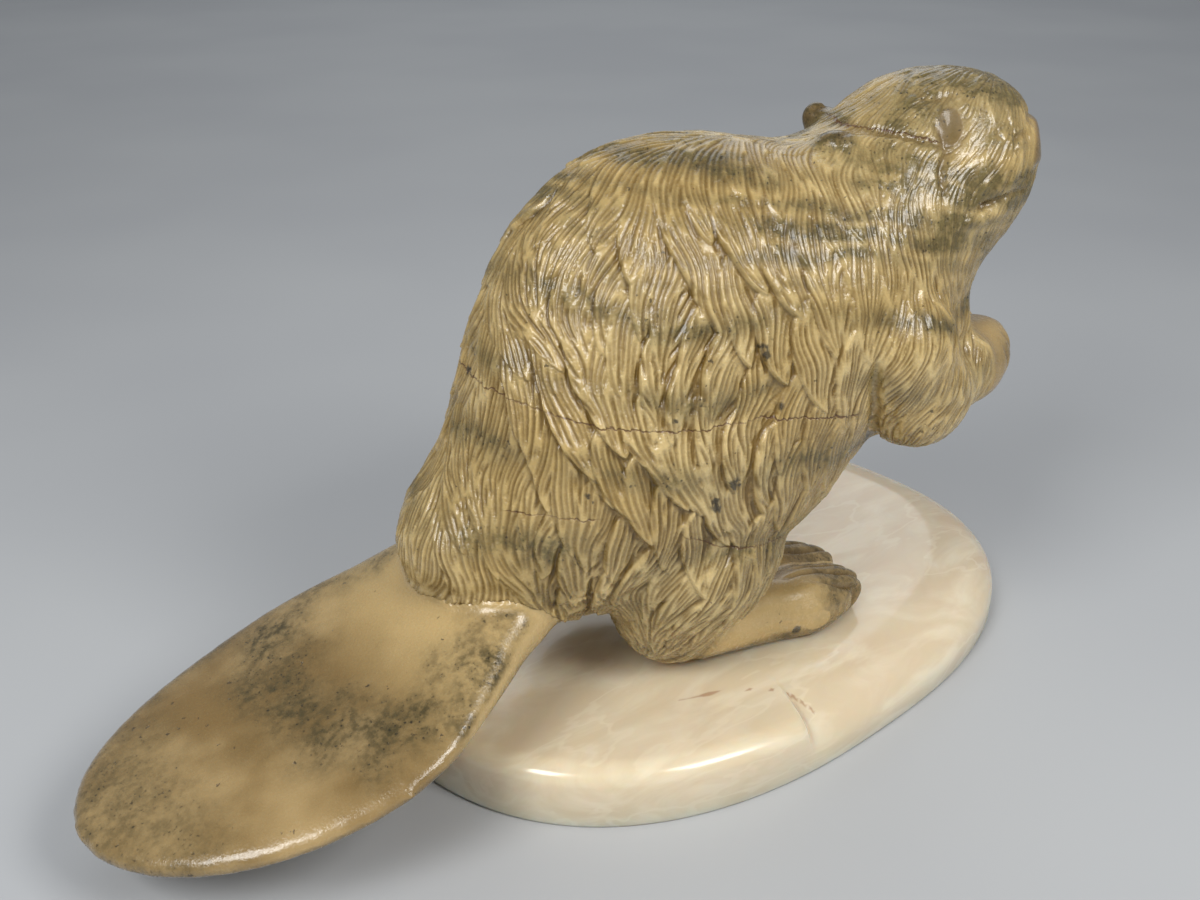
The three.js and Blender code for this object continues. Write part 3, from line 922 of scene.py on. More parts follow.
tufts, skin_finder = tufts_at_rays()
print("tufts on the trunk:", len(tufts), end="; ")
tufts = small_tufts(tufts)
print("with all others:", len(tufts))
stands, turn = lay_tufts(tufts, skin.points, skin.out, COAT_EDGE, COAT_LEAN, COAT_FALL)
turn = turn * np.minimum(boldness, 1.2) + math.radians(7) * new_waves(17)(skin.points)
flow = turned(lie, skin.out, turn)
flow = flattened(flow, skin.out)
print("tufts stand", np.round(np.percentile(stands, [5, 50, 95]), 2), "mm")

# %% [markdown]
# ## The hair lines
#
# The hair itself is cut with a small gouge, one stroke beside the other. Strokes drawn at
# random would cross and crowd. So each stroke is traced: it starts just beside the last
# one, follows the run of the hairs both ways, and stops where it would come too close to
# another, at the edge of a tuft, or where the hair ends. This fills the coat evenly with
# long lines that never cross.

# %% Trace the hair lines
LINE_PITCH = 1.5
STEP = 0.8
LONGEST = 34
CROWDED = 0.62
NEXT_SEED = 0.82
SEED_EVERY = 4
SAME_WAY = math.cos(math.radians(38))
HIGH_STEP = 0.4
OFF_SKIN = 1.5
line_pitch = less_on(LINE_PITCH, head=0.35, arm=0.25, haunch=0.1) - 0.15 * forward
line_pitch *= 1 + 0.1 * new_waves(12)(skin.points)
crowded = np.zeros(len(skin.points), bool)
taken_by = np.full(len(skin.points), -1)
free = hairy > 0.35


def follow(seed, sign, own):
    """The steps of a stroke from its seed, one way along the run of the hairs."""
    at, here, heading = skin.points[seed], seed, flow[seed] * sign
    path = []
    for _ in range(LONGEST):
        at = at + heading * STEP
        _, there, away = skin_finder.find(at)
        if away > OFF_SKIN or not free[there] or taken_by[there] not in (-1, own):
            break
        ahead = flow[there] * sign
        if ahead @ heading < SAME_WAY or abs(stands[there] - stands[here]) > HIGH_STEP:
            break
        out = skin.out[there]
        at = at - out * ((at - skin.points[there]) @ out)
        path.append((at, there))
        here, heading = there, ahead
    return path


def keep_clear(path, own):
    """Takes the skin along a stroke, and finds seeds beside it for the next ones."""
    seeds = []
    for count, (at, there) in enumerate(path):
        pitch = line_pitch[there]
        for _, n, away in skin_finder.find_range(at, NEXT_SEED * pitch):
            crowded[n] = True
            if away < CROWDED * pitch and taken_by[n] < 0:
                taken_by[n] = own
        if count % SEED_EVERY == 0:
            across = np.cross(skin.out[there], flow[there]) * pitch
            seeds += [skin_finder.find(at + s * across)[1] for s in (1, -1)]
    return seeds


def trace_strokes():
    found = []
    beside = deque()
    anywhere = iter(random.permutation(np.flatnonzero(free)).tolist())
    while True:
        seed = beside.popleft() if beside else next(anywhere, None)
        if seed is None:
            return found
        if crowded[seed] or not free[seed]:
            continue
        onward, backward = (follow(seed, sign, len(found)) for sign in (1, -1))
        path = backward[::-1] + [(skin.points[seed], seed)] + onward
        beside.extend(keep_clear(path, len(found)))
        found.append(path)


strokes = [path for path in trace_strokes() if len(path) > 2]
print("hair lines:", len(strokes))

# %% [markdown]
# A stroke is a shallow valley, deepest along its middle and running out at both ends.
# Every point of the skin finds the stroke nearest to it and measures straight across to it.

# %% Cut the hair lines
CUT_DEPTH = 0.6
RUN_OUT = 3.2
LINE_SPREAD = 0.62
SHADE_BLUR = 50
LEDGE = 0.8
UNDER_TAIL = 1.6


def cut_strokes():
    """How deep in a stroke each point of the skin is, from 0 to 1."""
    points = np.array([at for path in strokes for at, _ in path])
    runs = np.array([flow[there] for path in strokes for _, there in path])
    to_end = np.concatenate([
        np.minimum(np.arange(len(p)), np.arange(len(p))[::-1]) * STEP for p in strokes])
    finder = finder_of(points)
    nearest = np.array([finder.find(p)[1] for p in skin.points.tolist()])
    away = skin.points - points[nearest]
    along = (away * runs[nearest]).sum(1)
    across = np.sqrt(np.maximum((away ** 2).sum(1) - along ** 2, 0))
    across = np.hypot(across, np.maximum(np.abs(along) - STEP, 0))
    valley = np.cos(np.clip(across / (LINE_SPREAD * line_pitch), 0, 1) * math.pi) * 0.5 + 0.5
    valley = valley ** 0.75
    depth = random.uniform(0.65, 1.15, len(strokes))
    stroke_of = np.repeat(np.arange(len(strokes)), [len(path) for path in strokes])
    return valley * ease(to_end[nearest], -0.5, RUN_OUT) * depth[stroke_of[nearest]]


skin_net = skin.net()
hair_cut = cut_strokes() * hairy
line_depth = CUT_DEPTH * (0.5 + 0.35 * boldness) * line_pitch / 1.5
relief = hairy * boldness * (stands + TUFT_OVER)
# Painted shade: the low ground beside each tuft's step, where its shadow falls, gets a higher shade
# value and darker paint.
shade = np.clip(0.45 + 0.7 * (skin_net.blurred(relief, SHADE_BLUR) - relief), 0, 1)
coat = relief - line_depth * hair_cut
scallops = 0.08 * new_waves(9)(skin.points)
coat += LEDGE * ease(tail, 0.0, 0.3) * hairy
coat -= (UNDER_TAIL + LEDGE) * ease(tail + scallops, 0.44, 0.56)
skin.shift(coat)
paddle.shift(-UNDER_TAIL * ease(paddle.tail, 0.42, 0.3))
print("coat stands", np.round(np.percentile(coat, [5, 50, 95]), 2), "mm")

# %% [markdown]
# ## Where the layers, spots and seams lie
#
# The layers of the stone are nearly level and dip a little toward the front, so one number
# tells how high a place is among them. Gray layers sit at a few known heights. The tail has
# its own gray patch, and single dark spots and hair-thin seams have known places. These are
# measured on the surface and kept as values, and the paint adds the ragged edges later.

# %% Places of the markings
LAYER_DIP = np.array([0.14, -0.03, 1.0])
# Each layer's height, half its thickness, and how gray it is.
GRAY_LAYERS = [
    (138, 3.8, 0.75), (147, 2.6, 0.4), (154.5, 2.6, 0.75), (161, 3.2, 0.95), (167, 2.4, 0.7),
    (175, 3.0, 0.85), (180.5, 2.6, 0.6), (188, 2.0, 0.4), (206, 8.0, 0.95), (118, 3.6, 0.5),
    (97, 4.4, 0.55), (72, 5.0, 0.45), (31, 6.0, 0.3),
]
TAIL_PATCH = [(-150, 12), (-160, -14), (-156, -38), (-142, -54), (-122, -58), (-106, -50)]
RIM_GRAY = [(-115, 10), (-128, 18), (-150, 26), (-176, 26), (-200, 14), (-214, -6), (-216, -30)]
# The middle of each spot, and its size.
DARK_SPOTS = [
    (-56, -70, 123, 2.2), (-36, -74, 135, 2.6), (-33.5, -76.5, 118, 2.8), (-85, -61, 99, 1.6),
    (-44.5, -76, 98, 2.6), (-94, -15, 128, 2.2), (-95, -15.6, 123, 2.4),
    (-3.3, -61.6, 25.8, 2.0), (-61, -70, 118, 1.6), (-51, -74, 92, 2.2),
]
# Along x, the height of each seam among the layers.
CRACKS = [
    [(-100, 110.0), (-95, 110.6), (-82, 109.2), (-56, 109.3), (-36, 112.2), (-19, 111.7),
     (-2, 111.0)],
    [(-101, 79.8), (-91, 81.8), (-82, 83.2)],
    [(-62, 79.0), (-46, 72.0), (-30, 69.5), (-18, 69.0)],
    [(13, 185.5), (18, 186.5), (22, 187.5), (26, 187.6), (30, 187.0), (34, 186.6)],
]
CRACK_FAR = 6.0
print("gray layers:", len(GRAY_LAYERS), "dark spots:", len(DARK_SPOTS), "seams:", len(CRACKS))

# %% Mark the stone
slow, quick, patches = new_waves(60), new_waves(18), new_waves(34)
ragged, blots, grit = new_waves(16), new_waves(30), new_waves(5)


def gray_layers_and_blotches(points):
    """How gray each point is: the gray layers, and blotches that darken the body more toward the
    bottom, below about 110 mm.
    """
    layer = points @ LAYER_DIP + 1.6 * slow(points) + 0.8 * quick(points)
    patchy = np.clip(0.85 + 0.35 * patches(points), 0.35, 1.2)
    in_layer = np.max([s * ridge(layer - h, t) for h, t, s in GRAY_LAYERS], axis=0)
    blotchy = 0.3 * ease(points[:, 2], 110, 60) * np.clip(0.6 + 0.6 * blots(points), 0, 1.4)
    return patchy * in_layer + blotchy


def tail_stain(points, out):
    """How gray the tail is: its patch, its rim, its tip and, in blots, its underside."""
    away, _ = distance_to_line(points[:, 0], points[:, 1], TAIL_PATCH)
    patch = ridge(away + 2.5 * ragged(points), 13)
    away, _ = distance_to_line(points[:, 0], points[:, 1], RIM_GRAY)
    patch = np.maximum(patch, 0.7 * ridge(away + 2 * ragged(points), 8))
    top = ease(out[:, 2], 0.2, 0.6)
    under = ease(out[:, 2], 0.2, -0.4) * np.clip(0.5 + 0.5 * blots(points), 0, 1)
    tip = 0.45 * ease(points[:, 0], -175, -205)
    return np.maximum(0.7 * patch * top, np.maximum(0.7 * under, tip))


def dark_spots(points):
    ragged_edge = 0.6 * grit(points)
    return np.max([
        ridge(np.linalg.norm(points - [x, y, z], axis=1) + ragged_edge, size)
        for x, y, z, size in DARK_SPOTS], axis=0)


def crack_value(points):
    """Passes through zero along a crack, and is large away from all of them."""
    nearest = np.full(len(points), CRACK_FAR)
    x = points[:, 0]
    for line in CRACKS:
        xs, levels = np.array(line).T
        ends = ease(x, xs[0] - 4, xs[0] + 2) * ease(x, xs[-1] + 4, xs[-1] - 2)
        off = points @ LAYER_DIP - np.interp(x, xs, levels)
        off = np.where(points[:, 1] < 10, off, CRACK_FAR)
        off += np.where(off < 0, -1, 1) * CRACK_FAR * (1 - ends)
        nearest = np.where(np.abs(off) < np.abs(nearest), off, nearest)
    return nearest


def paint_values(surface):
    share = ease(surface.tail, 0.2, 0.8)
    return {
        "stain_and_shade": (1 - share) * gray_layers_and_blotches(surface.points)
        + share * tail_stain(surface.points, surface.out),
        "spot": dark_spots(surface.points),
        "crack": crack_value(surface.points),
        "hollow": surface.hollow,
    }


coat_marks, tail_marks = paint_values(skin), paint_values(paddle)
print("gray on the coat:", round(float(coat_marks["stain_and_shade"].mean()), 2), end="; ")
print("on the tail:", round(float(tail_marks["stain_and_shade"].mean()), 2))

# %% [markdown]
# ## Split the skin into its pieces
#
# The pieces take their points, unwrapping and paint values from the whole skin. They also
# keep its shading directions. Each piece computed alone would shade its rim differently, and
# a line would show along every joint.

# %% Split the skin
def split(surface, names, values):
    """Makes one object of each piece of a skin, with its own part of the values."""
    mesh = surface.mesh
    corners = np.empty(len(mesh.loops), np.int32)
    mesh.loops.foreach_get("vertex_index", corners)
    corners = corners.reshape(-1, 4)
    flat_uv = np.empty(len(mesh.loops) * 2, np.float32)
    mesh.uv_layers[UV_NAME].data.foreach_get("uv", flat_uv)
    flat_uv = flat_uv.reshape(-1, 8)
    piece_of_face = read_values(mesh, "piece", np.int32)
    found = {}
    for number, name in enumerate(names):
        chosen = piece_of_face == number
        used, local = np.unique(corners[chosen], return_inverse=True)
        title = "carved_" + name
        made = mesh_from(title, surface.points[used], local.reshape(-1, 4))
        made.uv_layers.new(name=UV_NAME).data.foreach_set("uv", flat_uv[chosen].ravel())
        for value, numbers in values.items():
            add_values(made, value, numbers[used].astype(np.float32))
        made.normals_split_custom_set_from_vertices(surface.out[used].tolist())
        piece = bpy.data.objects.new(title, made)
        bpy.context.scene.collection.objects.link(piece)
        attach(piece, "root")
        found[name] = piece
    bpy.data.meshes.remove(mesh)
    return found


# %% Paint and split both skins
# Painted shade: the cut, shade and crease values darken the grooves, the foot of each tuft's step
# and the carved creases.
coat_paint = {
    "cut": hair_cut ** 0.8,
    "shade": shade,
    "hairy": hairy * ease(tail, 0.56, 0.44),
    "eye": eye,
    "crease": creases,
    "pale": np.maximum(foot, 0.5 * paw),
    **coat_marks,
}
coat_paint["cut"] *= 1 - 0.3 * head
coat_paint["stain_and_shade"] *= 1 - 0.8 * foot
coat_paint["stain_and_shade"] += 0.8 * ear + 0.55 * toes
coat_paint["pale"] *= 1 - 0.5 * toes
# The head is painted darker: partly gray stone, and partly painted shade for the weaker light on
# the head.
coat_paint["stain_and_shade"] += 0.45 * head * np.clip(0.7 + 0.4 * ragged(skin.points), 0, 1.3)
beaver = split(skin, coat_names, coat_paint)
beaver.update(split(paddle, ["tail"], {
    **{name: np.zeros(len(paddle.points)) for name in ("cut", "shade", "hairy", "eye", "crease")},
    "pale": ease(paddle.points[:, 0], -150, -112),
    **tail_marks,
}))
for name in coat_names[len(TRUNK_PIECES):]:
    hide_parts(*[node for node, by in PIECE_OF.items() if by == name])
for name in TRUNK_PIECES:
    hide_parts("trunk")
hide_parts("tail")
print("skin pieces:", {n: len(p.data.polygons) * 2 for n, p in beaver.items()})

# %% [markdown]
# ## The alabaster slab
#
# The slab is an oval with slightly squared shoulders, polished on its top and side. The
# edge isn't the same all round. To the left of a natural vein it was kept tight, and to the
# right it was ground off in a broad soft bevel, so the vein shows as a small step. A loft of
# rings lets the round over the edge change with the direction from the middle, which a
# bevel modifier can't do.

# %% Rings of the slab
SLAB_LENGTH = 249.0
SLAB_WIDTH = 186.0
SLAB_THICKNESS = 20.0
SLAB_SQUARENESS = 2.48
SLAB_TURN = 6
SLAB_SIDES = 540
VEIN_ANGLE = math.radians(-103.5)
TIGHT_EDGE = (6.5, 5.5)
BROAD_EDGE = (25.0, 13.5)
STEP_TURN = math.radians(1.6)
BROAD_FADES = (math.radians(170), math.radians(260))
FOOT_RINGS = [(1.2, 0.0), (0.35, 0.35), (0.0, 1.2)]
EDGE_RINGS = 22
EDGE_POWER = 0.95
TOP_RINGS = 26
TOP_POWER = 0.9

slab_angles = np.arange(SLAB_SIDES) / SLAB_SIDES * 2 * math.pi


def outline(inset_x, inset_y):
    """The slab's outline, drawn in by that much at its ends and its sides."""
    c, s = np.cos(slab_angles), np.sin(slab_angles)
    power = 2 / SLAB_SQUARENESS
    x = (SLAB_LENGTH / 2 - inset_x) * np.sign(c) * np.abs(c) ** power
    y = (SLAB_WIDTH / 2 - inset_y) * np.sign(s) * np.abs(s) ** power
    turn = math.radians(SLAB_TURN)
    return x * math.cos(turn) - y * math.sin(turn), x * math.sin(turn) + y * math.cos(turn)


def broad_share():
    """0 where the edge is tight and 1 where it is broad: it jumps at the vein."""
    from_vein = (slab_angles - VEIN_ANGLE) % (2 * math.pi)
    return ease(from_vein, 0, STEP_TURN) * (1 - ease(from_vein, *BROAD_FADES))


def slab_points():
    share = broad_share()
    reach = TIGHT_EDGE[0] + share * (BROAD_EDGE[0] - TIGHT_EDGE[0])
    fall = TIGHT_EDGE[1] + share * (BROAD_EDGE[1] - TIGHT_EDGE[1])
    rings = []
    for inset, z in FOOT_RINGS:
        x, y = outline(inset, inset)
        rings.append(np.stack([x, y, np.full(SLAB_SIDES, z)], 1))
    for n in range(EDGE_RINGS + 1):
        turn = n / EDGE_RINGS * math.pi / 2
        across = 1 - math.cos(turn) ** EDGE_POWER
        up = math.sin(turn) ** EDGE_POWER
        x, y = outline(reach * across, reach * across)
        z = SLAB_THICKNESS - fall * (1 - up)
        rings.append(np.stack([x, y, z], 1))
    rim = rings[-1]
    for n in range(1, TOP_RINGS):
        scale = 1 - (n / TOP_RINGS) ** TOP_POWER
        rings.append(rim * [scale, scale, 1])
    return np.concatenate(rings + [[[0, 0, SLAB_THICKNESS]], [[0, 0, 0]]])


slab_stone = slab_points()
print("slab:", len(slab_stone), "points")


# %% Loft the slab
def slab_faces():
    rings = (len(slab_stone) - 2) // SLAB_SIDES
    side = np.arange(SLAB_SIDES)
    after = (side + 1) % SLAB_SIDES
    faces = []
    for n in range(rings - 1):
        low, high = n * SLAB_SIDES, (n + 1) * SLAB_SIDES
        faces += np.stack([low + side, low + after, high + after, high + side], 1).tolist()
    top, under = len(slab_stone) - 2, len(slab_stone) - 1
    last = (rings - 1) * SLAB_SIDES
    faces += [(last + a, last + b, top) for a, b in zip(side, after)]
    faces += [(b, a, under) for a, b in zip(side, after)]
    return faces


slab_mesh = bpy.data.meshes.new("slab")
slab_mesh.from_pydata((slab_stone * MM).tolist(), [], slab_faces())
slab_mesh.shade_smooth()
VEIN_TOP = [(-19.0, -88.0), (-22.0, -80.0), (-27.0, -74.0), (-36.0, -68.0), (-52.0, -62.0)]
vein_away, _ = distance_to_line(slab_stone[:, 0], slab_stone[:, 1], VEIN_TOP)
add_values(slab_mesh, "vein", np.minimum(vein_away, 12).astype(np.float32))
slab = bpy.data.objects.new("slab", slab_mesh)
bpy.context.scene.collection.objects.link(slab)
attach(slab, "root")
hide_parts("base")
print("slab:", len(slab_mesh.polygons), "faces")

# %% [markdown]
# ## Shader building blocks
#
# Stone is the same right through, so its markings are laid out in space and not on the
# surface: three small node groups take a place in millimetres and put out a mask. Clouds
# are soft patches. Flecks are scattered grains, only some of which show. A seam is a thin
# line that follows a value which passes through zero.

# %% Node helpers
def srgb(*levels):
    linear = [((v / 255 + 0.055) / 1.055) ** 2.4 if v > 10 else v / 3295 for v in levels]
    return (*linear, 1.0)


def add_node(tree, kind, inputs=None, **settings):
    made = tree.nodes.new(kind)
    for key, value in settings.items():
        setattr(made, key, value)
    for key, value in (inputs or {}).items():
        if isinstance(value, bpy.types.NodeSocket):
            tree.links.new(value, made.inputs[key])
        else:
            made.inputs[key].default_value = value
    return made


def calculate(tree, operation, *values, clamp=False):
    made = add_node(tree, "ShaderNodeMath", dict(enumerate(values)), operation=operation)
    made.use_clamp = clamp
    return made.outputs[0]


def times(tree, first, second, clamp=False):
    return calculate(tree, "MULTIPLY", first, second, clamp=clamp)


def plus(tree, first, second):
    return calculate(tree, "ADD", first, second)


def remap(tree, value, low, high, to_low=0.0, to_high=1.0):
    made = add_node(tree, "ShaderNodeMapRange", {
        "Value": value, "From Min": low, "From Max": high,
        "To Min": to_low, "To Max": to_high}, interpolation_type="SMOOTHSTEP")
    return made.outputs[0]


def blend(tree, share, first, second):
    made = add_node(tree, "ShaderNodeMix", {0: share, 6: first, 7: second}, data_type="RGBA")
    return made.outputs[2]


def new_group(name, **numbers):
    """A node group that takes a place and some numbers, and puts out a mask."""
    group = bpy.data.node_groups.new(name, "ShaderNodeTree")
    group.interface.new_socket("Place", in_out="INPUT", socket_type="NodeSocketVector")
    for title, value in numbers.items():
        socket = group.interface.new_socket(title, in_out="INPUT", socket_type="NodeSocketFloat")
        socket.default_value = value
    group.interface.new_socket("Mask", in_out="OUTPUT", socket_type="NodeSocketFloat")
    return group, add_node(group, "NodeGroupInput"), add_node(group, "NodeGroupOutput")


def use_group(tree, group, **inputs):
    made = add_node(tree, "ShaderNodeGroup", node_tree=group)
    for key, value in inputs.items():
        socket = made.inputs[key]
        if isinstance(value, bpy.types.NodeSocket):
            tree.links.new(value, socket)
        else:
            socket.default_value = value
    return made.outputs[0]


# %% Groups for clouds, flecks and seams
clouds, at, out = new_group("clouds", Size=20.0, Detail=3.0, Start=0.4, End=0.6, Twist=0.0)
scale = calculate(clouds, "DIVIDE", 1.0, at.outputs["Size"])
noise = add_node(clouds, "ShaderNodeTexNoise", {
    "Vector": at.outputs["Place"], "Scale": scale, "Detail": at.outputs["Detail"],
    "Roughness": 0.55, "Distortion": at.outputs["Twist"]})
mask = remap(clouds, noise.outputs[0], at.outputs["Start"], at.outputs["End"])
clouds.links.new(mask, out.inputs[0])

flecks, at, out = new_group("flecks", Spacing=4.0, Size=0.25, Share=0.3)
scale = calculate(flecks, "DIVIDE", 1.0, at.outputs["Spacing"])
ragged = add_node(flecks, "ShaderNodeTexNoise", {
    "Vector": at.outputs["Place"], "Scale": times(flecks, scale, 2.6), "Detail": 2.0})
offset = add_node(flecks, "ShaderNodeVectorMath", {
    0: ragged.outputs["Color"], 1: (0.5, 0.5, 0.5)}, operation="SUBTRACT")
offset = add_node(flecks, "ShaderNodeVectorMath", {
    0: offset.outputs[0], "Scale": at.outputs["Spacing"]}, operation="SCALE")
moved = add_node(flecks, "ShaderNodeVectorMath", {
    0: at.outputs["Place"], 1: offset.outputs[0]}, operation="ADD")
cells = add_node(flecks, "ShaderNodeTexVoronoi", {"Vector": moved.outputs[0], "Scale": scale})
pick = add_node(flecks, "ShaderNodeSeparateColor", {0: cells.outputs["Color"]})
shown = calculate(flecks, "LESS_THAN", pick.outputs[0], at.outputs["Share"])
size = times(flecks, at.outputs["Size"], remap(flecks, pick.outputs[1], 0.0, 1.0, 0.5, 1.2))
near = remap(flecks, calculate(flecks, "DIVIDE", cells.outputs["Distance"], size), 1.0, 0.6)
flecks.links.new(times(flecks, near, shown), out.inputs[0])

seam, at, out = new_group("seam", Value=0.0, Width=0.4, Wander=1.0, Length=5.0)
scale = calculate(seam, "DIVIDE", 1.0, at.outputs["Length"])
noise = add_node(seam, "ShaderNodeTexNoise", {
    "Vector": at.outputs["Place"], "Scale": scale, "Detail": 3.0})
shift = calculate(seam, "SUBTRACT", noise.outputs[0], 0.5)
shift = times(seam, shift, at.outputs["Wander"])
off = calculate(seam, "ABSOLUTE", plus(seam, at.outputs["Value"], shift))
ratio = calculate(seam, "DIVIDE", off, at.outputs["Width"])
seam.links.new(remap(seam, ratio, 1.0, 0.25), out.inputs[0])


def cloud(tree, place, size, detail, start, end, twist=0.0):
    return use_group(tree, clouds, Place=place, Size=size, Detail=detail,
                     Start=start, End=end, Twist=twist)


print("groups:", [g.name for g in bpy.data.node_groups])

# %% [markdown]
# ## The banded stone
#
# The block is a warm sandy stone in nearly level layers. A few layers are gray-olive with
# black grains, and thin brown seams run between others. The carved hair shows its ridges
# pale and its cuts painted darker and golden, which is painted shade, as is the darker ground
# at the foot of each tuft's step. The polished tail and feet show the plain stone with its
# grains, with painted shade in the creases, and the hollows are painted darker as shade too.
# The head is painted a little darker, partly gray and partly as shade. A coat of wax lies over
# all of it, and its gloss is a little uneven. The eyes are duller and darker than the skin
# around them.

# %% Material helpers
def attribute(tree, name):
    return add_node(tree, "ShaderNodeAttribute", attribute_name=name).outputs["Fac"]


def place_mm(tree):
    where = add_node(tree, "ShaderNodeTexCoord").outputs["Object"]
    made = add_node(tree, "ShaderNodeVectorMath", {0: where, "Scale": 1 / MM}, operation="SCALE")
    return made.outputs[0]


def new_material(name):
    material = bpy.data.materials.new(name)
    material.use_nodes = True
    tree = material.node_tree
    surface = tree.nodes["Principled BSDF"]
    return material, tree, surface


# %% Colours of the stone
# The cut colours and the darkest brown are painted shade: they darken the grooves, the creases and
# the hollows.
RIDGE = srgb(208, 185, 132)
MIDDLE = srgb(190, 164, 108)
CUT_SHADE = srgb(116, 90, 38)
SHADE_BROWN = srgb(88, 64, 26)
GRAY_RIDGE = srgb(112, 99, 60)
GRAY_CUT_SHADE = srgb(66, 54, 25)
POLISHED = srgb(168, 143, 98)
POLISHED_LOW = srgb(128, 103, 60)
POLISHED_PALE = srgb(196, 169, 116)
POLISHED_GRAY = srgb(78, 67, 38)
EYE_BROWN = srgb(108, 90, 48)
BLACK_GRAIN = srgb(30, 27, 20)
RUST = srgb(84, 50, 20)
print("carved ridges:", np.round(RIDGE, 2), "cuts:", np.round(CUT_SHADE, 2))

# %% Carved and polished skin
stone, tree, surface = new_material("waxed_stone")
place = place_mm(tree)
cut, shaded, stain_and_shade, hollow, covered = (
    attribute(tree, name) for name in ("cut", "shade", "stain_and_shade", "hollow", "hairy"))

mottle = cloud(tree, place, 9.0, 5.0, 0.3, 0.7, 0.6)
grain = cloud(tree, place, 2.2, 4.0, 0.3, 0.7)
broad = cloud(tree, place, 38.0, 3.0, 0.35, 0.65)
gray = times(tree, stain_and_shade, remap(tree, mottle, 0.0, 0.8, 0.65, 1.25), clamp=True)
gray = times(tree, gray, remap(tree, grain, 0.0, 1.0, 0.7, 1.2), clamp=True)

# Painted shade: the cuts and the low ground below each tuft's step are painted darker and golden.
cut_and_shade = plus(tree, times(tree, cut, 0.85), remap(tree, shaded, 0.45, 0.95, 0.0, 0.8))
cut_and_shade = plus(tree, cut_and_shade, remap(tree, grain, 0.0, 1.0, 0.08, -0.08))
cut_and_shade = times(tree, cut_and_shade, covered, clamp=True)
warm = blend(tree, cut_and_shade, blend(tree, broad, MIDDLE, RIDGE), CUT_SHADE)
cool = blend(tree, cut_and_shade, GRAY_RIDGE, GRAY_CUT_SHADE)
hair_colour = blend(tree, gray, warm, cool)
smooth_warm = blend(tree, broad, POLISHED_LOW, POLISHED)
smooth_warm = blend(tree, attribute(tree, "pale"), smooth_warm, POLISHED_PALE)
smooth_colour = blend(tree, gray, smooth_warm, POLISHED_GRAY)
colour = blend(tree, covered, smooth_colour, hair_colour)
# Painted shade: the hollows and the carved creases are painted toward a dark golden brown.
colour = blend(tree, remap(tree, hollow, 0.12, 0.7, 0.0, 0.75), colour, SHADE_BROWN)
creased = times(tree, attribute(tree, "crease"), 0.6)
colour = blend(tree, creased, colour, SHADE_BROWN)
colour = blend(tree, attribute(tree, "eye"), colour, EYE_BROWN)
print("skin colours:", len(tree.nodes), "nodes")

# %% Grains, spots and seams
grains = use_group(tree, flecks, Place=place, Spacing=3.0, Size=0.17, Share=0.16)
more = use_group(tree, flecks, Place=place, Spacing=1.3, Size=0.3, Share=0.6)
more = times(tree, more, remap(tree, gray, 0.1, 0.7, 0.0, 0.8))
spot = times(tree, attribute(tree, "spot"), remap(tree, grain, 0.0, 1.0, 0.4, 1.3))
dark = calculate(tree, "MAXIMUM", times(tree, grains, 0.7), more)
dark = calculate(tree, "MAXIMUM", dark, remap(tree, spot, 0.25, 0.75, 0.0, 0.85))
colour = blend(tree, dark, colour, BLACK_GRAIN)
crack = use_group(tree, seam, Place=place, Value=attribute(tree, "crack"), Width=0.34,
                  Wander=2.4, Length=2.2)
crack = times(tree, crack, remap(tree, mottle, 0.1, 0.7, 0.45, 1.0))
colour = blend(tree, times(tree, crack, 0.85), colour, RUST)
tree.links.new(colour, surface.inputs["Base Color"])
print("with grains and seams:", len(tree.nodes), "nodes")

# %% Wax and pits
gloss = cloud(tree, place, 1.6, 3.0, 0.25, 0.75)
rough = remap(tree, gloss, 0.0, 1.0, 0.17, 0.3)
rough = plus(tree, rough, times(tree, cut_and_shade, 0.1))
rough = plus(tree, rough, times(tree, attribute(tree, "eye"), 0.4))
tree.links.new(rough, surface.inputs["Roughness"])
surface.inputs["Coat Weight"].default_value = 0.3
surface.inputs["Coat Roughness"].default_value = 0.1
surface.inputs["Subsurface Weight"].default_value = 0.1
surface.inputs["Subsurface Radius"].default_value = (1.0, 0.6, 0.3)
surface.inputs["Subsurface Scale"].default_value = 0.002

pits = cloud(tree, place, 0.8, 3.0, 0.2, 0.8)
height = calculate(tree, "SUBTRACT", times(tree, pits, 0.35), plus(tree, grains, crack))
bump = add_node(tree, "ShaderNodeBump", {"Strength": 0.6, "Distance": 0.0003, "Height": height})
tree.links.new(bump.outputs[0], surface.inputs["Normal"])
for piece in beaver.values():
    piece.data.materials.append(stone)
print("waxed stone:", len(stone.node_tree.nodes), "nodes")

# %% [markdown]
# ## The alabaster
#
# Alabaster lets light in, so it looks soft and milky, with pinkish and white clouds in it
# and a few wavy seams. A brown-red vein runs from the foot to the step in the edge.

# %% Alabaster material
CREAM = srgb(217, 202, 173)
MILK = srgb(230, 219, 195)
PINK = srgb(214, 195, 167)
VEIN_RED = srgb(172, 130, 98)

alabaster, tree, surface = new_material("alabaster")
place = place_mm(tree)
stretched = add_node(tree, "ShaderNodeVectorMath", {
    0: place, 1: (0.35, 1.0, 1.2)}, operation="MULTIPLY").outputs[0]
milk = cloud(tree, stretched, 16.0, 5.0, 0.35, 0.75, 1.2)
pink = cloud(tree, place, 42.0, 3.0, 0.4, 0.7)
colour = blend(tree, milk, blend(tree, pink, CREAM, PINK), MILK)
wave = add_node(tree, "ShaderNodeTexNoise", {"Vector": stretched, "Scale": 1 / 26, "Detail": 4.0})
line = times(tree, calculate(tree, "SUBTRACT", wave.outputs[0], 0.52), 60.0)
white_seam = use_group(tree, seam, Place=place, Value=line, Width=0.9, Wander=1.5, Length=9.0)
colour = blend(tree, times(tree, white_seam, 0.5), colour, MILK)
vein = use_group(tree, seam, Place=place, Value=attribute(tree, "vein"), Width=1.2,
                 Wander=1.4, Length=7.0)
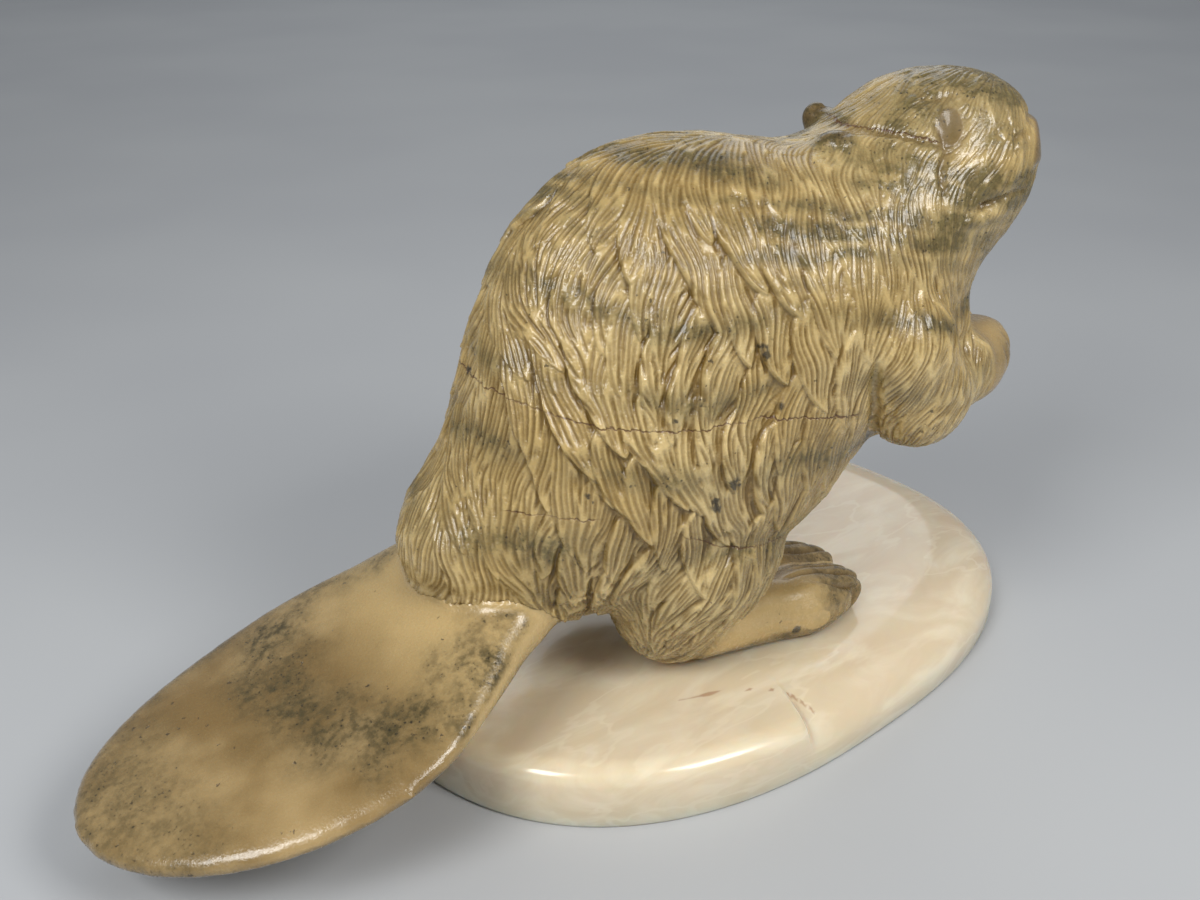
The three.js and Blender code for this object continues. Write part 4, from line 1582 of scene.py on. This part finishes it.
colour = blend(tree, times(tree, vein, 0.7), colour, VEIN_RED)
tree.links.new(colour, surface.inputs["Base Color"])
rough = remap(tree, milk, 0.0, 1.0, 0.16, 0.26)
tree.links.new(rough, surface.inputs["Roughness"])
surface.inputs["Coat Weight"].default_value = 0.3
surface.inputs["Coat Roughness"].default_value = 0.08
surface.inputs["Subsurface Weight"].default_value = 0.8
surface.inputs["Subsurface Radius"].default_value = (1.0, 0.7, 0.45)
surface.inputs["Subsurface Scale"].default_value = 0.014
slab_mesh.materials.append(alabaster)
print("alabaster:", len(alabaster.node_tree.nodes), "nodes")

# %% [markdown]
# ## The floor and the light
#
# The floor is one plain pale sheet. Two soft lamps of equal power stand in front, one to
# the left and one to the right, as high as a lamp on a tall stand. They put the small glints
# on the hairs. A wide, weak one far behind keeps the floor there pale, and the room's own
# light fills the shadows.

# %% Floor
FLOOR_SIDE = 8.0
FLOOR_TINTS = srgb(176, 179, 183), srgb(182, 185, 188)
floor_mesh = bpy.data.meshes.new("floor")
half = FLOOR_SIDE / 2
floor_mesh.from_pydata(
    [(-half, -half, 0), (half, -half, 0), (half, half, 0), (-half, half, 0)], [], [(0, 1, 2, 3)])
floor = bpy.data.objects.new("floor", floor_mesh)
bpy.context.scene.collection.objects.link(floor)
paper, tree, surface = new_material("pale_floor")
place = place_mm(tree)
haze = cloud(tree, place, 300.0, 2.0, 0.3, 0.7)
tree.links.new(blend(tree, haze, *FLOOR_TINTS), surface.inputs["Base Color"])
surface.inputs["Roughness"].default_value = 0.55
floor_mesh.materials.append(paper)
print("floor:", FLOOR_SIDE, "m across")

# %% Lights
def soft_light(name, at_mm, side_mm, watts, tint):
    """A square lamp that looks at the same place as the camera."""
    data = bpy.data.lights.new(name, "AREA")
    data.shape = "SQUARE"
    data.size = side_mm * MM
    data.energy = watts
    data.color = tint
    light = bpy.data.objects.new(name, data)
    light.location = np.array(at_mm) * MM
    aim = Vector(LOOK_AT * MM) - Vector(light.location)
    light.rotation_euler = aim.to_track_quat("-Z", "Y").to_euler()
    bpy.context.scene.collection.objects.link(light)


ROOM_TINT = (0.93, 0.96, 1.0, 1)
ROOM_STRENGTH = 0.27
soft_light("left", (-760, -280, 740), 380, 6.2, (1.0, 0.99, 0.97))
soft_light("right", (130, -800, 740), 380, 6.2, (1.0, 0.98, 0.95))
soft_light("far", (1100, 1500, 1500), 1600, 9.0, (0.97, 0.99, 1.0))
world = bpy.data.worlds.new("studio")
world.use_nodes = True
room = world.node_tree.nodes["Background"]
room.inputs["Color"].default_value = ROOM_TINT
room.inputs["Strength"].default_value = ROOM_STRENGTH
bpy.context.scene.world = world
bpy.context.scene.view_settings.view_transform = "Standard"
print("lights:", len(bpy.data.lights))
